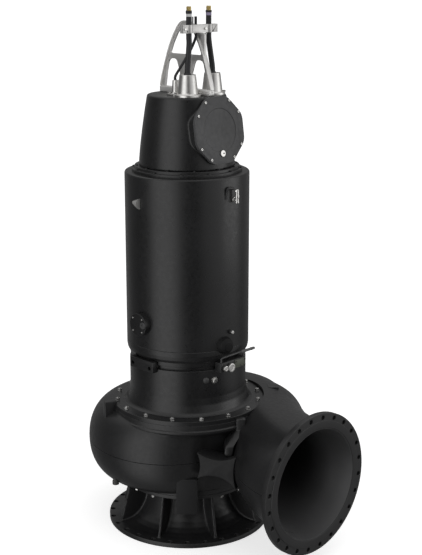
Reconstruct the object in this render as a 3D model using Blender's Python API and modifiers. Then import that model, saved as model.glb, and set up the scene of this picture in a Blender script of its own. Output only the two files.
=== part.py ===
"""Large vertical sewage pump on its suction stand, as separate named pieces.

Metres, +Z up, floor at z = 0. The discharge points along +X. Every piece is a child of the empty
pump_axis, which stands on the pump's centre line, so the numbers below are measured from that line.
"""
import math

import bmesh
import bpy
from mathutils import Matrix, Vector

# Driving dimensions

GAP = 0.0003                    # between touching pieces
AXIS_X, AXIS_Y = -0.220, -0.142   # the pump's centre line in the model's frame
MERGE = 0.0001
ROUND = 48                      # segments of the large round pieces

# Suction stand: a bell with a drilled base flange and radial ribs
BASE_RADIUS = 0.605
BASE_THICK = 0.034
BASE_BOLT_RADIUS = 0.580
BASE_BOLTS = 28
BASE_HOLE = 0.018
STAND_TOP = 0.350
STAND_TOP_RADIUS = 0.476
RIB_TOP = 0.322
EYE = 0.304                     # radius of the suction eye
RIBS = 8

# Volute casing
SEAM_Z = 0.630                  # mid-plane of the spiral and centre of the discharge
COVER_TOP = 0.392               # top of the ring that carries the casing
COLLAR_TOP = 0.925
COLLAR_RADIUS = 0.568
IMPELLER_BAY = 0.440
WALL = 0.032
SPIRAL_START = 0.30             # radians clockwise from the discharge, seen from above
SPIRAL_STEPS = 42

# Discharge flange, drilled to the common 10 bar pattern of 800 mm
FACE_X = 1.270
FLANGE_RADIUS = 0.5075
FLANGE_THICK = 0.046
FLANGE_BOLT_RADIUS = 0.475
FLANGE_BOLTS = 24
FLANGE_HOLE = 0.0165
BORE = 0.400
RAISED_RADIUS = 0.452
RAISED = 0.005

# Bearing housing and motor
HOUSING_TOP = 1.288
HOUSING_RADIUS = 0.430
BOLT_FLANGE_TOP = 0.957
MOTOR_BOTTOM = 1.318
TAPER_TOP = 1.434
JACKET_TOP = 2.672
JACKET_RADIUS = 0.449
CAP_TOP = 2.712
CONE_TOP = 3.212
CONE_BOTTOM_RADIUS = 0.344
CONE_TOP_RADIUS = 0.280
COVER_FACE_X = 0.335
COVER_THICK = 0.022
COVER_Z = 2.985
COVER_LEAN = math.radians(8.3)  # the cover leans back with the housing's taper
COVER_FLAT = 0.232              # half the distance across the cover's flats

# Top fittings
GLAND_X, GLAND_Y = 0.136, 0.120
GLAND_HEIGHT = 0.150
CABLE_RADIUS = 0.0195
CONTROL_RADIUS = 0.0095
HOLE_PLAY = 0.0006              # round each cable in the clamp
CLAMP_X = 0.125
CLAMP_Z = 3.669
CLAMP_HEIGHT = 0.056
CABLE_SPREAD = 0.0955
CABLE_END = 3.790
CORE_END = 3.822
CONTROL_FOOT = (0.0140, -0.1205)
CONTROL_HEIGHT = 0.105
CONTROL_SPOT = (0.124, -0.029)

# Flat pads that stand off the bearing housing's top
PAD_LOW, PAD_HIGH = 1.266, 1.345
VALVE_FACE = 0.470

# Collections, the axis and the paints

for old in list(bpy.data.objects):
    bpy.data.objects.remove(old, do_unlink=True)

parts = bpy.data.collections.new("sewage_pump")
tools = bpy.data.collections.new("cutters")
bpy.context.scene.collection.children.link(parts)
bpy.context.scene.collection.children.link(tools)

pump_axis = bpy.data.objects.new("pump_axis", None)
pump_axis.location = (AXIS_X, AXIS_Y, 0)
parts.objects.link(pump_axis)


def paint(name, colour, roughness, metallic=0.0):
    """A Principled material."""
    material = bpy.data.materials.new(name)
    material.use_nodes = True
    shader = material.node_tree.nodes["Principled BSDF"]
    shader.inputs["Base Color"].default_value = (*colour, 1)
    shader.inputs["Roughness"].default_value = roughness
    shader.inputs["Metallic"].default_value = metallic
    material.diffuse_color = (*colour, 1)
    return material


BLACK = ((0.022, 0.022, 0.023), 0.42, 0.0)
GREY = ((0.085, 0.085, 0.087), 0.50, 0.0)
STEEL = ((0.62, 0.61, 0.59), 0.30, 1.0)
BRASS = ((0.60, 0.47, 0.20), 0.35, 1.0)
SHEATH = ((0.018, 0.018, 0.020), 0.55, 0.0)


# Makers of shapes

def place(name, mesh, finish, cutter=False):
    """Puts a mesh on the pump's axis as a named piece, or as a hidden cutter."""
    piece = bpy.data.objects.new(name, mesh)
    piece.parent = pump_axis
    if cutter:
        tools.objects.link(piece)
        piece.hide_render = True
        piece.display_type = "WIRE"
        return piece
    parts.objects.link(piece)
    mesh.materials.clear()
    mesh.materials.append(paint(name + "_finish", *finish))
    mesh.shade_smooth()
    mesh.set_sharp_from_angle(angle=math.radians(32))
    return piece


def mesh_of(bm, name):
    """A mesh with outward faces from a bmesh."""
    bmesh.ops.recalc_face_normals(bm, faces=bm.faces)
    mesh = bpy.data.meshes.new(name)
    bm.to_mesh(mesh)
    bm.free()
    return mesh


def turned(name, profile, finish=BLACK, segments=ROUND, cutter=False, closed=False, turn=None):
    """A turned piece: (radius, height) points run down the outer side, top to bottom."""
    mesh = bpy.data.meshes.new(name)
    points = [(radius, 0, height) for radius, height in profile]
    edges = [(i, i + 1) for i in range(len(points) - 1)]
    if closed:
        edges.append((len(points) - 1, 0))
    mesh.from_pydata(points, edges, [])
    piece = place(name, mesh, finish, cutter)
    screw = piece.modifiers.new("turn", "SCREW")
    screw.axis = "Z"
    screw.steps = screw.render_steps = segments
    screw.use_merge_vertices = True
    screw.merge_threshold = MERGE
    if turn is not None:
        piece.matrix_local = turn
    return piece


def rod(name, radius, length, matrix, finish=BLACK, segments=16, cutter=False, radius_end=None):
    """A cylinder or cone along its own +Z from the matrix's origin."""
    bm = bmesh.new()
    bmesh.ops.create_cone(
        bm, cap_ends=True, segments=segments, radius1=radius,
        radius2=radius if radius_end is None else radius_end, depth=length,
        matrix=matrix @ Matrix.Translation((0, 0, length / 2)),
    )
    return place(name, mesh_of(bm, name), finish, cutter)


def block(name, size, matrix, finish=BLACK, cutter=False):
    """A box centred on the matrix's origin."""
    bm = bmesh.new()
    bmesh.ops.create_cube(bm, size=1.0, matrix=matrix @ Matrix.Diagonal((*size, 1)))
    return place(name, mesh_of(bm, name), finish, cutter)


def plate(name, outline, thickness, matrix, finish=BLACK, cutter=False):
    """A flat outline in the matrix's own XY plane, extruded evenly to both sides of it."""
    curve = bpy.data.curves.new(name, "CURVE")
    curve.dimensions = "2D"
    curve.fill_mode = "BOTH"
    curve.extrude = thickness / 2
    spline = curve.splines.new("POLY")
    spline.points.add(len(outline) - 1)
    for point, (x, y) in zip(spline.points, outline):
        point.co = (x, y, 0, 1)
    spline.use_cyclic_u = True
    return from_curve(name, curve, matrix, finish, cutter)


def bar(name, route, radius, finish=BLACK, sides=3, cutter=False):
    """A round bar or tube along a route of points."""
    curve = bpy.data.curves.new(name, "CURVE")
    curve.dimensions = "3D"
    curve.bevel_depth = radius
    curve.bevel_resolution = sides
    curve.use_fill_caps = True
    spline = curve.splines.new("POLY")
    spline.points.add(len(route) - 1)
    for point, place_ in zip(spline.points, route):
        point.co = (*place_, 1)
    return from_curve(name, curve, Matrix.Identity(4), finish, cutter)


def from_curve(name, curve, matrix, finish, cutter):
    """Turns a curve into a welded mesh piece."""
    holder = bpy.data.objects.new(name + "_curve", curve)
    bpy.context.scene.collection.objects.link(holder)
    bpy.context.view_layer.update()
    seen = holder.evaluated_get(bpy.context.evaluated_depsgraph_get())
    mesh = bpy.data.meshes.new_from_object(seen)
    bpy.data.objects.remove(holder, do_unlink=True)
    bm = bmesh.new()
    bm.from_mesh(mesh)
    bmesh.ops.remove_doubles(bm, verts=bm.verts, dist=MERGE)
    bmesh.ops.dissolve_limit(bm, angle_limit=math.radians(0.5), verts=bm.verts, edges=bm.edges)
    bmesh.ops.transform(bm, matrix=matrix, verts=bm.verts)
    bpy.data.meshes.remove(mesh)
    return place(name, mesh_of(bm, name), finish, cutter)


def loft(name, rings, finish=BLACK, cutter=False, endless=False):
    """A solid through unlike sections, which no modifier makes: a spiral casing or its passage."""
    bm = bmesh.new()
    rows = [[bm.verts.new(point) for point in ring] for ring in rings]
    pairs = list(zip(rows, rows[1:]))
    if endless:
        pairs.append((rows[-1], rows[0]))
    count = len(rows[0])
    for one, two in pairs:
        for i in range(count):
            j = (i + 1) % count
            bm.faces.new((one[i], one[j], two[j], two[i]))
    if not endless:
        bm.faces.new(rows[0])
        bm.faces.new(rows[-1])
    return place(name, mesh_of(bm, name), finish, cutter)


def combine(piece, other, operation):
    """An exact Boolean with a cutter or an added body."""
    modifier = piece.modifiers.new(operation.lower() + "_" + other.name, "BOOLEAN")
    modifier.operation = operation
    modifier.solver = "EXACT"
    modifier.object = other


def add(piece, *others):
    for other in others:
        combine(piece, other, "UNION")


def cut(piece, *others):
    for other in others:
        combine(piece, other, "DIFFERENCE")


def around(azimuth, radius=0.0, height=0.0):
    """A frame on the pump's axis, turned to an azimuth in degrees: local +X points outward."""
    turn = Matrix.Rotation(math.radians(azimuth), 4, "Z")
    return turn @ Matrix.Translation((radius, 0, height))


OUTWARD = Matrix.Rotation(math.radians(90), 4, "Y")        # local +Z becomes outward +X


def drill(name, count, circle, radius, depth, matrix, phase):
    """A ring of drills along the matrix's +Z, as one cutter."""
    bm = bmesh.new()
    for i in range(count):
        angle = math.radians(phase + 360 * i / count)
        spot = Matrix.Translation((circle * math.cos(angle), circle * math.sin(angle), depth / 2))
        bmesh.ops.create_cone(
            bm, cap_ends=True, segments=8, radius1=radius, radius2=radius, depth=depth,
            matrix=matrix @ spot,
        )
    return place(name, mesh_of(bm, name), BLACK, cutter=True)


def arc(centre, radius, start, end, steps):
    """Points on an arc, angles in degrees."""
    angles = [math.radians(start + (end - start) * i / steps) for i in range(steps + 1)]
    return [(centre[0] + radius * math.cos(a), centre[1] + radius * math.sin(a)) for a in angles]


def smooth(edge0, edge1, value):
    """0 before edge0, 1 after edge1 and an even ramp between."""
    ramp = min(1.0, max(0.0, (value - edge0) / (edge1 - edge0)))
    return ramp * ramp * (3 - 2 * ramp)


# Suction stand

def suction_stand():
    """Bell casting: drilled base flange, flared wall, top flange and eight radial ribs."""
    outer = [
        (EYE, STAND_TOP), (STAND_TOP_RADIUS, STAND_TOP), (STAND_TOP_RADIUS, RIB_TOP), (0.352, RIB_TOP),
        (0.338, 0.308), (0.336, 0.250), (0.343, 0.200), (0.362, 0.152), (0.390, 0.106), (0.424, 0.072),
        (0.462, 0.048), (0.505, 0.036), (0.540, BASE_THICK), (BASE_RADIUS, BASE_THICK), (BASE_RADIUS, 0),
    ]
    inner = [(0.456, 0), (0.420, 0.024), (0.386, 0.056), (0.354, 0.096), (0.326, 0.148), (0.309, 0.210)]
    stand = turned("suction_stand", outer + inner, closed=True)
    for i in range(RIBS):
        outline = [(0.335, 0.150), (0.380, 0.090), (0.440, 0.040), (0.500, 0.012), (0.546, 0.012),
                   (0.542, 0.046), (0.471, RIB_TOP + 0.012), (0.325, RIB_TOP + 0.012)]
        rib = plate(f"rib_{i}", outline, 0.022, around(22.5 + 45 * i) @ STANDING, cutter=True)
        add(stand, rib)
    cut(stand, drill("base_drill", BASE_BOLTS, BASE_BOLT_RADIUS, BASE_HOLE, 0.2,
                     Matrix.Translation((0, 0, -0.05)), 180 / BASE_BOLTS))
    return stand


STANDING = Matrix.Rotation(math.radians(90), 4, "X")        # local +Y becomes +Z


# Volute casing

def spiral_radius(angle):
    """Outer radius of the casing at an angle in radians clockwise from the discharge."""
    grown = angle - 0.5
    radius = 0.499 + 0.160 * grown - 0.0133 * grown * grown
    narrow = 0.500
    closing = smooth(4.75, 5.90, angle)
    return max(narrow, radius * (1 - closing) + narrow * closing)


def section(angle, wall):
    """The casing's section at an angle, drawn in by the wall, as (radius, height) points."""
    reach = spiral_radius(angle) - wall
    grown = min(angle, 4.75) - 0.5
    middle = 0.470 + 0.42 * max(0.0, spiral_radius(angle) - 0.56)
    rise = 0.272 + 0.008 * grown - wall
    if not wall:
        rise += 0.033 * smooth(3.7, 4.7, angle)
    fall = 0.258 + 0.003 * grown - wall
    half = reach - middle
    inside = IMPELLER_BAY - 0.03 - wall
    points = []
    steps = 9
    for i in range(steps + 1):
        a = math.radians(-90 + 180 * i / steps)
        c, s = math.cos(a), math.sin(a)
        height = rise if s > 0 else fall
        power = 0.96 if s > 0 else 0.86
        points.append((middle + half * abs(c) ** power,
                       SEAM_Z + math.copysign(height * abs(s) ** power, s)))
    points.append((inside, min(SEAM_Z + rise, 0.895 - wall)))
    points.append((inside, SEAM_Z - fall))
    return points


def spiral(name, wall, cutter):
    """The closed ring of casing sections."""
    rings = []
    for i in range(SPIRAL_STEPS):
        angle = SPIRAL_START + 2 * math.pi * i / SPIRAL_STEPS
        rings.append([(r * math.cos(-angle), r * math.sin(-angle), z) for r, z in section(angle, wall)])
    return loft(name, rings, cutter=cutter, endless=True)


NECK_END = 0.404

# Stations of the discharge neck: the near and the far side in plan, the rise, the fall, and the
# rise that its passage is drawn in from, which is lower under the shoulder
NECK = [
    ((0.00, 0.400), (0.00, 0.905), 0.338, 0.270, 0.298),
    ((0.20, 0.210), (0.368, 0.856), 0.351, 0.275, 0.300),
    ((0.44, -0.048), (0.561, 0.732), 0.352, 0.295, 0.305),
    ((0.645, -0.194), (0.753, 0.609), 0.359, 0.335, 0.345),
    ((0.835, -0.310), (0.988, 0.521), 0.372, 0.375, 0.372),
    ((1.05, -0.388), (1.13, 0.450), 0.388, 0.402, 0.388),
    ((FACE_X - 0.035, -NECK_END), (FACE_X - 0.035, NECK_END), NECK_END, NECK_END, NECK_END),
]


def flowing(values, t):
    """A smooth curve through evenly spaced values, at a place between 0 and 1."""
    last = len(values) - 1
    i = min(int(t * last), last - 1)
    u = t * last - i
    p0, p1, p2, p3 = (Vector(values[max(0, min(last, i + k))]) for k in (-1, 0, 1, 2))
    return 0.5 * ((2 * p1) + (p2 - p0) * u + (2 * p0 - 5 * p1 + 4 * p2 - p3) * u * u
                  + (3 * p1 - p0 - 3 * p2 + p3) * u ** 3)


def neck(name, wall, cutter, beyond=0.0, steps=15, sides=28):
    """The discharge neck, from a narrow tall section to a round one, drawn in by the wall."""
    rings = []
    for k in range(steps + 1):
        t = k / steps
        near = flowing([row[0] for row in NECK], t)
        far = flowing([row[1] for row in NECK], t)
        rise, fall, passage_rise = flowing([row[2:] for row in NECK], t)
        if wall:
            rise = passage_rise
        across = (far - near).normalized()
        centre, half = (near + far) / 2, (far - near).length / 2 - wall
        ring = []
        for i in range(sides):
            a = 2 * math.pi * i / sides
            up = (rise if math.sin(a) > 0 else fall) - wall
            spot = centre + across * (half * math.cos(a))
            ring.append(Vector((spot.x, spot.y, SEAM_Z + up * math.sin(a))))
        rings.append(ring)
    if beyond:
        rings.append([point + Vector((beyond, 0, 0)) for point in rings[-1]])
    return loft(name, rings, cutter=cutter)


FLANGE_FRAME = Matrix.Translation((FACE_X, 0, SEAM_Z)) @ OUTWARD


def volute_casing():
    """Spiral casting with its neck, drilled discharge flange, collars, crotch web and lugs."""
    casing = spiral("volute_casing", 0.0, False)
    add(casing, neck("neck_body", 0.0, True))
    flange = [
        (0, 0), (RAISED_RADIUS, 0), (RAISED_RADIUS, -RAISED), (FLANGE_RADIUS, -RAISED),
        (FLANGE_RADIUS, -FLANGE_THICK), (NECK_END + 0.038, -FLANGE_THICK - 0.006),
        (NECK_END + 0.012, -FLANGE_THICK - 0.040), (0, -FLANGE_THICK - 0.040),
    ]
    add(casing, turned("flange_body", flange, cutter=True, segments=56, turn=FLANGE_FRAME))
    add(casing, turned("collar_body", [
        (0.450, COLLAR_TOP), (COLLAR_RADIUS, COLLAR_TOP), (COLLAR_RADIUS, 0.885),
        (COLLAR_RADIUS + 0.010, 0.881), (COLLAR_RADIUS + 0.010, 0.866), (0.556, 0.852), (0.450, 0.820),
    ], cutter=True, closed=True))
    add(casing, turned("foot_ring", [
        (0.400, 0.460), (0.470, 0.460), (0.486, 0.430), (0.486, COVER_TOP), (0.400, COVER_TOP),
    ], cutter=True, closed=True))
    add(casing, crotch_web(), crotch_rib(), support_leg(), box_lug(), small_lug())
    cut(casing, spiral("passage", WALL, True))
    cut(casing, neck("neck_passage", WALL, True, beyond=0.10, sides=26))
    cut(casing, turned("bore_mouth", [
        (0, 0.05), (BORE, 0.05), (BORE, -0.006), (BORE - 0.006, -0.030), (BORE - 0.017, -0.060),
        (BORE - 0.025, -0.095), (0, -0.095),
    ], cutter=True, segments=60, turn=FLANGE_FRAME))
    cut(casing, rod("impeller_bay", IMPELLER_BAY, 1.0, Matrix.Translation((0, 0, 0.2)),
                    segments=ROUND, cutter=True))
    cut(casing, turned("flange_seat", [
        (0, 1.10), (COLLAR_RADIUS + 0.012, 1.10), (COLLAR_RADIUS + 0.012, COLLAR_TOP), (0, COLLAR_TOP),
    ], cutter=True))
    cut(casing, turned("cover_seat", [
        (0, COVER_TOP), (0.484, COVER_TOP), (0.484, 0.30), (0, 0.30),
    ], cutter=True))
    cut(casing, drill("flange_drill", FLANGE_BOLTS, FLANGE_BOLT_RADIUS, FLANGE_HOLE, 0.2,
                      FLANGE_FRAME @ Matrix.Translation((0, 0, -0.15)), 180 / FLANGE_BOLTS))
    return casing


def crotch_web():
    """Star-shaped web with four points and hollow sides, between the spiral and the neck."""
    left, right = 0.222, 0.512
    top, low_left, low_right = 0.737, 0.540, 0.482
    outline = []
    outline += bowed((left, top), (right, top - 0.005), 0.040, 6)
    outline += bowed((right, top - 0.005), (right, low_right), 0.020, 4)
    outline += bowed((right, low_right), (left, low_left), 0.058, 6)
    outline += bowed((left, low_left), (left, top), 0.022, 4)
    depth = 0.16
    facing = around(-60, 0.552 - depth / 2) @ OUTWARD_UPRIGHT
    return plate("crotch_web", outline, depth, facing, cutter=True)


OUTWARD_UPRIGHT = Matrix(((0, 0, 1, 0), (1, 0, 0, 0), (0, 1, 0, 0), (0, 0, 0, 1)))
COVER_FRAME = Matrix.Translation((COVER_FACE_X, 0, COVER_Z)) @ Matrix.Rotation(-COVER_LEAN, 4, "Y")


def bowed(start, end, depth, steps):
    """An edge that bows to its left by a depth, without its last point."""
    a, b = Vector(start), Vector(end)
    side = Vector((b.y - a.y, a.x - b.x)).normalized()
    return [tuple(a.lerp(b, i / steps) + side * depth * 4 * (i / steps) * (1 - i / steps))
            for i in range(steps)]


def crotch_rib():
    """Rib in the crotch: upright on the top collar, then down and outward to the web, with a round foot."""
    across = Vector((math.cos(math.radians(46)), math.sin(math.radians(46)), 0))
    inward = Vector((-across.y, across.x, 0))
    stations = [(0.600, -4.3, 0.930, 0.031), (0.600, -4.4, 0.853, 0.031), (0.630, -11.9, 0.821, 0.030),
                (0.662, -17.5, 0.781, 0.031), (0.668, -18.6, 0.730, 0.031), (0.668, -18.4, 0.706, 0.018)]
    rings = []
    for radius, azimuth, height, half in stations:
        spot = around(azimuth, radius, height).translation
        back = 0.06 + (radius - 0.598) * 1.6
        rings.append([spot - across * half, spot + across * half,
                      spot + across * half + inward * back, spot - across * half + inward * back])
    return loft("crotch_rib", rings, cutter=True)


def support_leg():
    """Square pad that hangs from the casing beside the stand."""
    return block("support_leg", (0.060, 0.156, 0.270), around(-45, 0.518, 0.375), cutter=True)


def box_lug():
    """Square lug on the casing's shoulder."""
    return block("box_lug", (0.094, 0.050, 0.160), around(-117.3, 0.600, 0.900), cutter=True)


def small_lug():
    """Low square pad on the neck's shoulder."""
    spot = around(56.5, 0.660, 0.955).translation
    return block("small_lug", (0.085, 0.062, 0.060),
                 Matrix.Translation(spot) @ Matrix.Rotation(math.radians(46), 4, "Z"), cutter=True)


def suction_cover():
    """Ring between the casing and its stand, with the wear-ring spigot inside."""
    return turned("suction_cover", [
        (EYE, COVER_TOP - GAP), (0.472, COVER_TOP - GAP), (0.478, COVER_TOP - 0.006),
        (0.478, STAND_TOP + 0.003), (0.475, STAND_TOP + GAP), (EYE, STAND_TOP + GAP),
    ], closed=True)


# Hydraulic end inside the casing

def impeller():
    """Open impeller: back disc, hub and three swept vanes, seen from below and down the neck."""
    wheel = turned("impeller", [
        (0, 0.770), (0.395, 0.770), (0.395, 0.745), (0.160, 0.730), (0.090, 0.640), (0.062, 0.520),
        (0.030, 0.470), (0, 0.462),
    ], STEEL_PAINTED, segments=32)
    for k in range(3):
        start = 120 * k
        rings = []
        for i in range(9):
            t = i / 8
            angle = math.radians(start + 150 * t)
            radius = 0.060 + 0.325 * t
            out = Vector((math.cos(angle), math.sin(angle), 0))
            along = Vector((-math.sin(angle), math.cos(angle), 0))
            side = (out * 0.75 - along * 0.55).normalized() * 0.011
            low = 0.480 - 0.060 * smooth(0, 0.5, t)
            spot = out * radius
            rings.append([
                (spot + side + Vector((0, 0, low))), (spot - side + Vector((0, 0, low))),
                (spot - side + Vector((0, 0, 0.755))), (spot + side + Vector((0, 0, 0.755))),
            ])
        add(wheel, loft(f"vane_{k}", rings, cutter=True))
    return wheel


STEEL_PAINTED = ((0.10, 0.10, 0.10), 0.5, 0.3)


def bearing_housing():
    """Flanged housing between the casing and the motor, with the plate that closes the casing."""
    return turned("bearing_housing", [
        (0, HOUSING_TOP), (HOUSING_RADIUS - 0.004, HOUSING_TOP), (HOUSING_RADIUS, HOUSING_TOP - 0.004),
        (HOUSING_RADIUS, 1.080), (HOUSING_RADIUS + 0.006, 1.040), (HOUSING_RADIUS + 0.020, 0.995),
        (0.474, 0.966), (0.482, BOLT_FLANGE_TOP), (0.562, BOLT_FLANGE_TOP), (0.566, BOLT_FLANGE_TOP - 0.004),
        (0.566, COLLAR_TOP + GAP), (IMPELLER_BAY - 0.003, COLLAR_TOP + GAP), (IMPELLER_BAY - 0.003, 0.800),
        (0.110, 0.790), (0.070, 0.770 + GAP), (0, 0.770 + GAP),
    ])


def seal_ring():
    """Recessed ring on top of the bearing housing."""
    return turned("seal_ring", [
        (0, MOTOR_BOTTOM - GAP), (0.408, MOTOR_BOTTOM - GAP),
        (0.408, HOUSING_TOP + GAP), (0, HOUSING_TOP + GAP),
    ])


# Motor

def motor_base():
    """Lower ring of the motor: a band, then a flare up to the jacket."""
    return turned("motor_base", [
        (0, TAPER_TOP - GAP), (JACKET_RADIUS, TAPER_TOP - GAP), (JACKET_RADIUS, 1.398), (0.446, 1.378),
        (0.441, 1.361), (0.433, 1.350), (0.426, 1.348), (0.426, MOTOR_BOTTOM + 0.003),
        (0.423, MOTOR_BOTTOM), (0, MOTOR_BOTTOM),
    ])


def motor_jacket():
    """Cooling jacket round the motor, a plain cylinder."""
    return turned("motor_jacket", [
        (0, JACKET_TOP), (JACKET_RADIUS - 0.014, JACKET_TOP), (JACKET_RADIUS - 0.004, JACKET_TOP - 0.004),
        (JACKET_RADIUS, JACKET_TOP - 0.014), (JACKET_RADIUS, TAPER_TOP + 0.003),
        (JACKET_RADIUS - 0.003, TAPER_TOP), (0, TAPER_TOP),
    ], segments=56)


def motor_cap():
    """Two stepped rings that close the jacket."""
    return turned("motor_cap", [
        (0, CAP_TOP), (0.372, CAP_TOP), (0.376, CAP_TOP - 0.004), (0.376, CAP_TOP - 0.018),
        (0.392, CAP_TOP - 0.020), (0.396, CAP_TOP - 0.024), (0.396, JACKET_TOP + GAP), (0, JACKET_TOP + GAP),
    ])


def cone_radius(z):
    """Outer radius of the terminal housing at a height."""
    t = (z - CAP_TOP) / (CONE_TOP - CAP_TOP)
    return CONE_BOTTOM_RADIUS + (CONE_TOP_RADIUS - CONE_BOTTOM_RADIUS) * t ** 1.35


def terminal_housing():
    """Round housing over the motor that tapers to the glands, with a neck for the side cover."""
    wall = [(0, CONE_TOP), (CONE_TOP_RADIUS - 0.014, CONE_TOP), (CONE_TOP_RADIUS - 0.003, CONE_TOP - 0.005)]
    steps = 8
    for i in range(steps + 1):
        z = CONE_TOP - 0.016 - (CONE_TOP - 0.016 - CAP_TOP - GAP) * i / steps
        wall.append((cone_radius(z), z))
    wall.append((0, CAP_TOP + GAP))
    housing = turned("terminal_housing", wall)
    depth = 0.22
    front = -COVER_THICK - GAP
    add(housing, plate("cover_neck", octagon(COVER_FLAT - 0.025, 0.095), depth,
                       COVER_FRAME @ Matrix.Translation((front + 0.010 - depth / 2, 0, 0)) @ OUTWARD_UPRIGHT,
                       cutter=True))
    cut(housing, block("cover_face_mill", (0.2, 0.7, 0.6),
                       COVER_FRAME @ Matrix.Translation((front + 0.1, 0, 0.3 - COVER_FLAT - 0.004)), cutter=True))
    return housing


def octagon(flat, corner):
    """A rounded octagon: half its width across flats, and the radius of its corners."""
    points = []
    reach = (flat - corner) / math.cos(math.radians(22.5))
    for k in range(8):
        middle = 22.5 + 45 * k
        centre = (reach * math.cos(math.radians(middle)), reach * math.sin(math.radians(middle)))
        points += arc(centre, corner, middle - 22.5, middle + 22.5, 3)
    return points


def terminal_cover():
    """Octagonal cover plate with a shallow round recess, bare."""
    cover = plate("terminal_cover", octagon(COVER_FLAT, 0.100), COVER_THICK,
                  COVER_FRAME @ Matrix.Translation((-COVER_THICK / 2, 0, 0)) @ OUTWARD_UPRIGHT, GREY)
    spot = COVER_FRAME @ Matrix.Translation((-0.004, 0, 0)) @ OUTWARD
    cut(cover, rod("cover_recess", 0.150, 0.05, spot,
                   segments=40, cutter=True))
    return cover


def cover_plug():
    """Slotted plug near the cover's lower edge."""
    spot = COVER_FRAME @ Matrix.Translation((GAP, 0, -0.161)) @ OUTWARD
    plug = rod("cover_plug", 0.023, 0.008, spot, STEEL, segments=20, radius_end=0.021)
    slot = spot @ Matrix.Translation((0, 0, 0.008))
    cut(plug, block("cover_slot", (0.004, 0.026, 0.006), slot, cutter=True))
    return plug


# Glands, cables and their clamp

def gland(name, x, y, top_radius, bottom_radius, height, flange_radius, flange_height):
    """Turned gland: a tapered body on a round flange."""
    base = CONE_TOP + GAP
    return turned(name, [
        (0, base + height), (top_radius - 0.004, base + height), (top_radius, base + height - 0.004),
        (bottom_radius, base + flange_height + 0.006), (bottom_radius + 0.004, base + flange_height),
        (flange_radius - 0.003, base + flange_height), (flange_radius, base + flange_height - 0.003),
        (flange_radius, base), (0, base),
    ], STEEL, segments=20, turn=Matrix.Translation((x, y, 0)))


def smooth_route(points, spacing):
    """Evenly spaced points on a smooth curve through the given ones."""
    def at(i, t):
        p0, p1, p2, p3 = (Vector(points[max(0, min(len(points) - 1, i + k))]) for k in (-1, 0, 1, 2))
        return 0.5 * ((2 * p1) + (p2 - p0) * t + (2 * p0 - 5 * p1 + 4 * p2 - p3) * t * t
                      + (3 * p1 - p0 - 3 * p2 + p3) * t ** 3)
    route = [Vector(points[0])]
    for i in range(len(points) - 1):
        length = (Vector(points[i + 1]) - Vector(points[i])).length
        count = max(1, round(length / spacing))
        route += [at(i, k / count) for k in range(1, count + 1)]
    return route


def power_cable(name, side):
    """A thick cable from its gland through the clamp to the bare cores above it."""
    foot = CONE_TOP + GLAND_HEIGHT + 2 * GAP
    spread = side * CABLE_SPREAD
    start = (GLAND_X, side * GLAND_Y, foot)
    route = smooth_route([
        start, (GLAND_X, side * GLAND_Y, foot + 0.05), (CLAMP_X + 0.004, spread * 1.03, CLAMP_Z - 0.11),
        (CLAMP_X, spread, CLAMP_Z - 0.06), (CLAMP_X, spread, CLAMP_Z - 0.03),
        (CLAMP_X, spread, CLAMP_Z + 0.03), (CLAMP_X, spread, CABLE_END),
    ], 0.05)
    return bar(name, route, CABLE_RADIUS, SHEATH)


def cable_cores(name, side):
    """Bare cores that stand out of the cable's end, twisted together."""
    middle = Vector((CLAMP_X, side * CABLE_SPREAD, CABLE_END + GAP))
    bundle = None
    for k in range(3):
        angle = math.radians(90 + 120 * k)
        spot = middle + Vector((math.cos(angle), math.sin(angle), 0)) * 0.0085
        core = rod(name if k == 0 else f"{name}_{k}", 0.0090, CORE_END - CABLE_END,
                   Matrix.Translation(spot), BRASS, segments=12, cutter=k > 0)
        if bundle:
            add(bundle, core)
        else:
            bundle = core
    return bundle


def control_cable():
    """Thin control cable from its own gland, behind the left cable, up through the clamp."""
    x, y = CONTROL_FOOT
    foot = CONE_TOP + CONTROL_HEIGHT + 2 * GAP
    top_x, top_y = CONTROL_SPOT
    route = smooth_route([
        (x, y, foot), (x, y, foot + 0.03), (0.048, -0.090, 3.42), (0.098, -0.050, 3.53),
        (top_x, top_y - 0.001, CLAMP_Z - 0.06), (top_x, top_y, CLAMP_Z - 0.03),
        (top_x, top_y, CLAMP_Z + 0.03), (top_x, top_y, 3.752),
    ], 0.025)
    return bar("control_cable", route, CONTROL_RADIUS, SHEATH, sides=2)


def cable_clamp():
    """Clamp bar across the cables, on the bail's bracket."""
    spot = Matrix.Translation((CLAMP_X, 0.002, CLAMP_Z))
    clamp = block("cable_clamp", (0.034, 0.330, CLAMP_HEIGHT), spot, STEEL)
    for side in (-1, 1):
        low = Matrix.Translation((CLAMP_X, side * CABLE_SPREAD, CLAMP_Z - CLAMP_HEIGHT / 2))
        add(clamp, rod(f"clamp_boss_{side}", CABLE_RADIUS + 0.009, CLAMP_HEIGHT, low,
                       segments=24, cutter=True))
        cut(clamp, rod(f"clamp_hole_{side}", CABLE_RADIUS + HOLE_PLAY, 0.2,
                       low @ Matrix.Translation((0, 0, -0.07)), segments=24, cutter=True))
    cut(clamp, rod("clamp_slot", CONTROL_RADIUS + HOLE_PLAY, 0.2,
                   Matrix.Translation((*CONTROL_SPOT, CLAMP_Z - 0.1)), segments=16, cutter=True))
    return clamp


# Lifting bail

BAIL_EDGE = [(0.262, 3.256), (0.248, 3.314), (0.228, 3.375), (0.202, 3.447), (0.175, 3.5175),
             (0.142, 3.584), (0.102, 3.650), (0.0685, 3.693), (0.029, 3.718)]
BAIL_BASE = 0.042
BRACKET_X = 0.190
SHELF_Z = CLAMP_Z - CLAMP_HEIGHT / 2 - GAP


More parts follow.
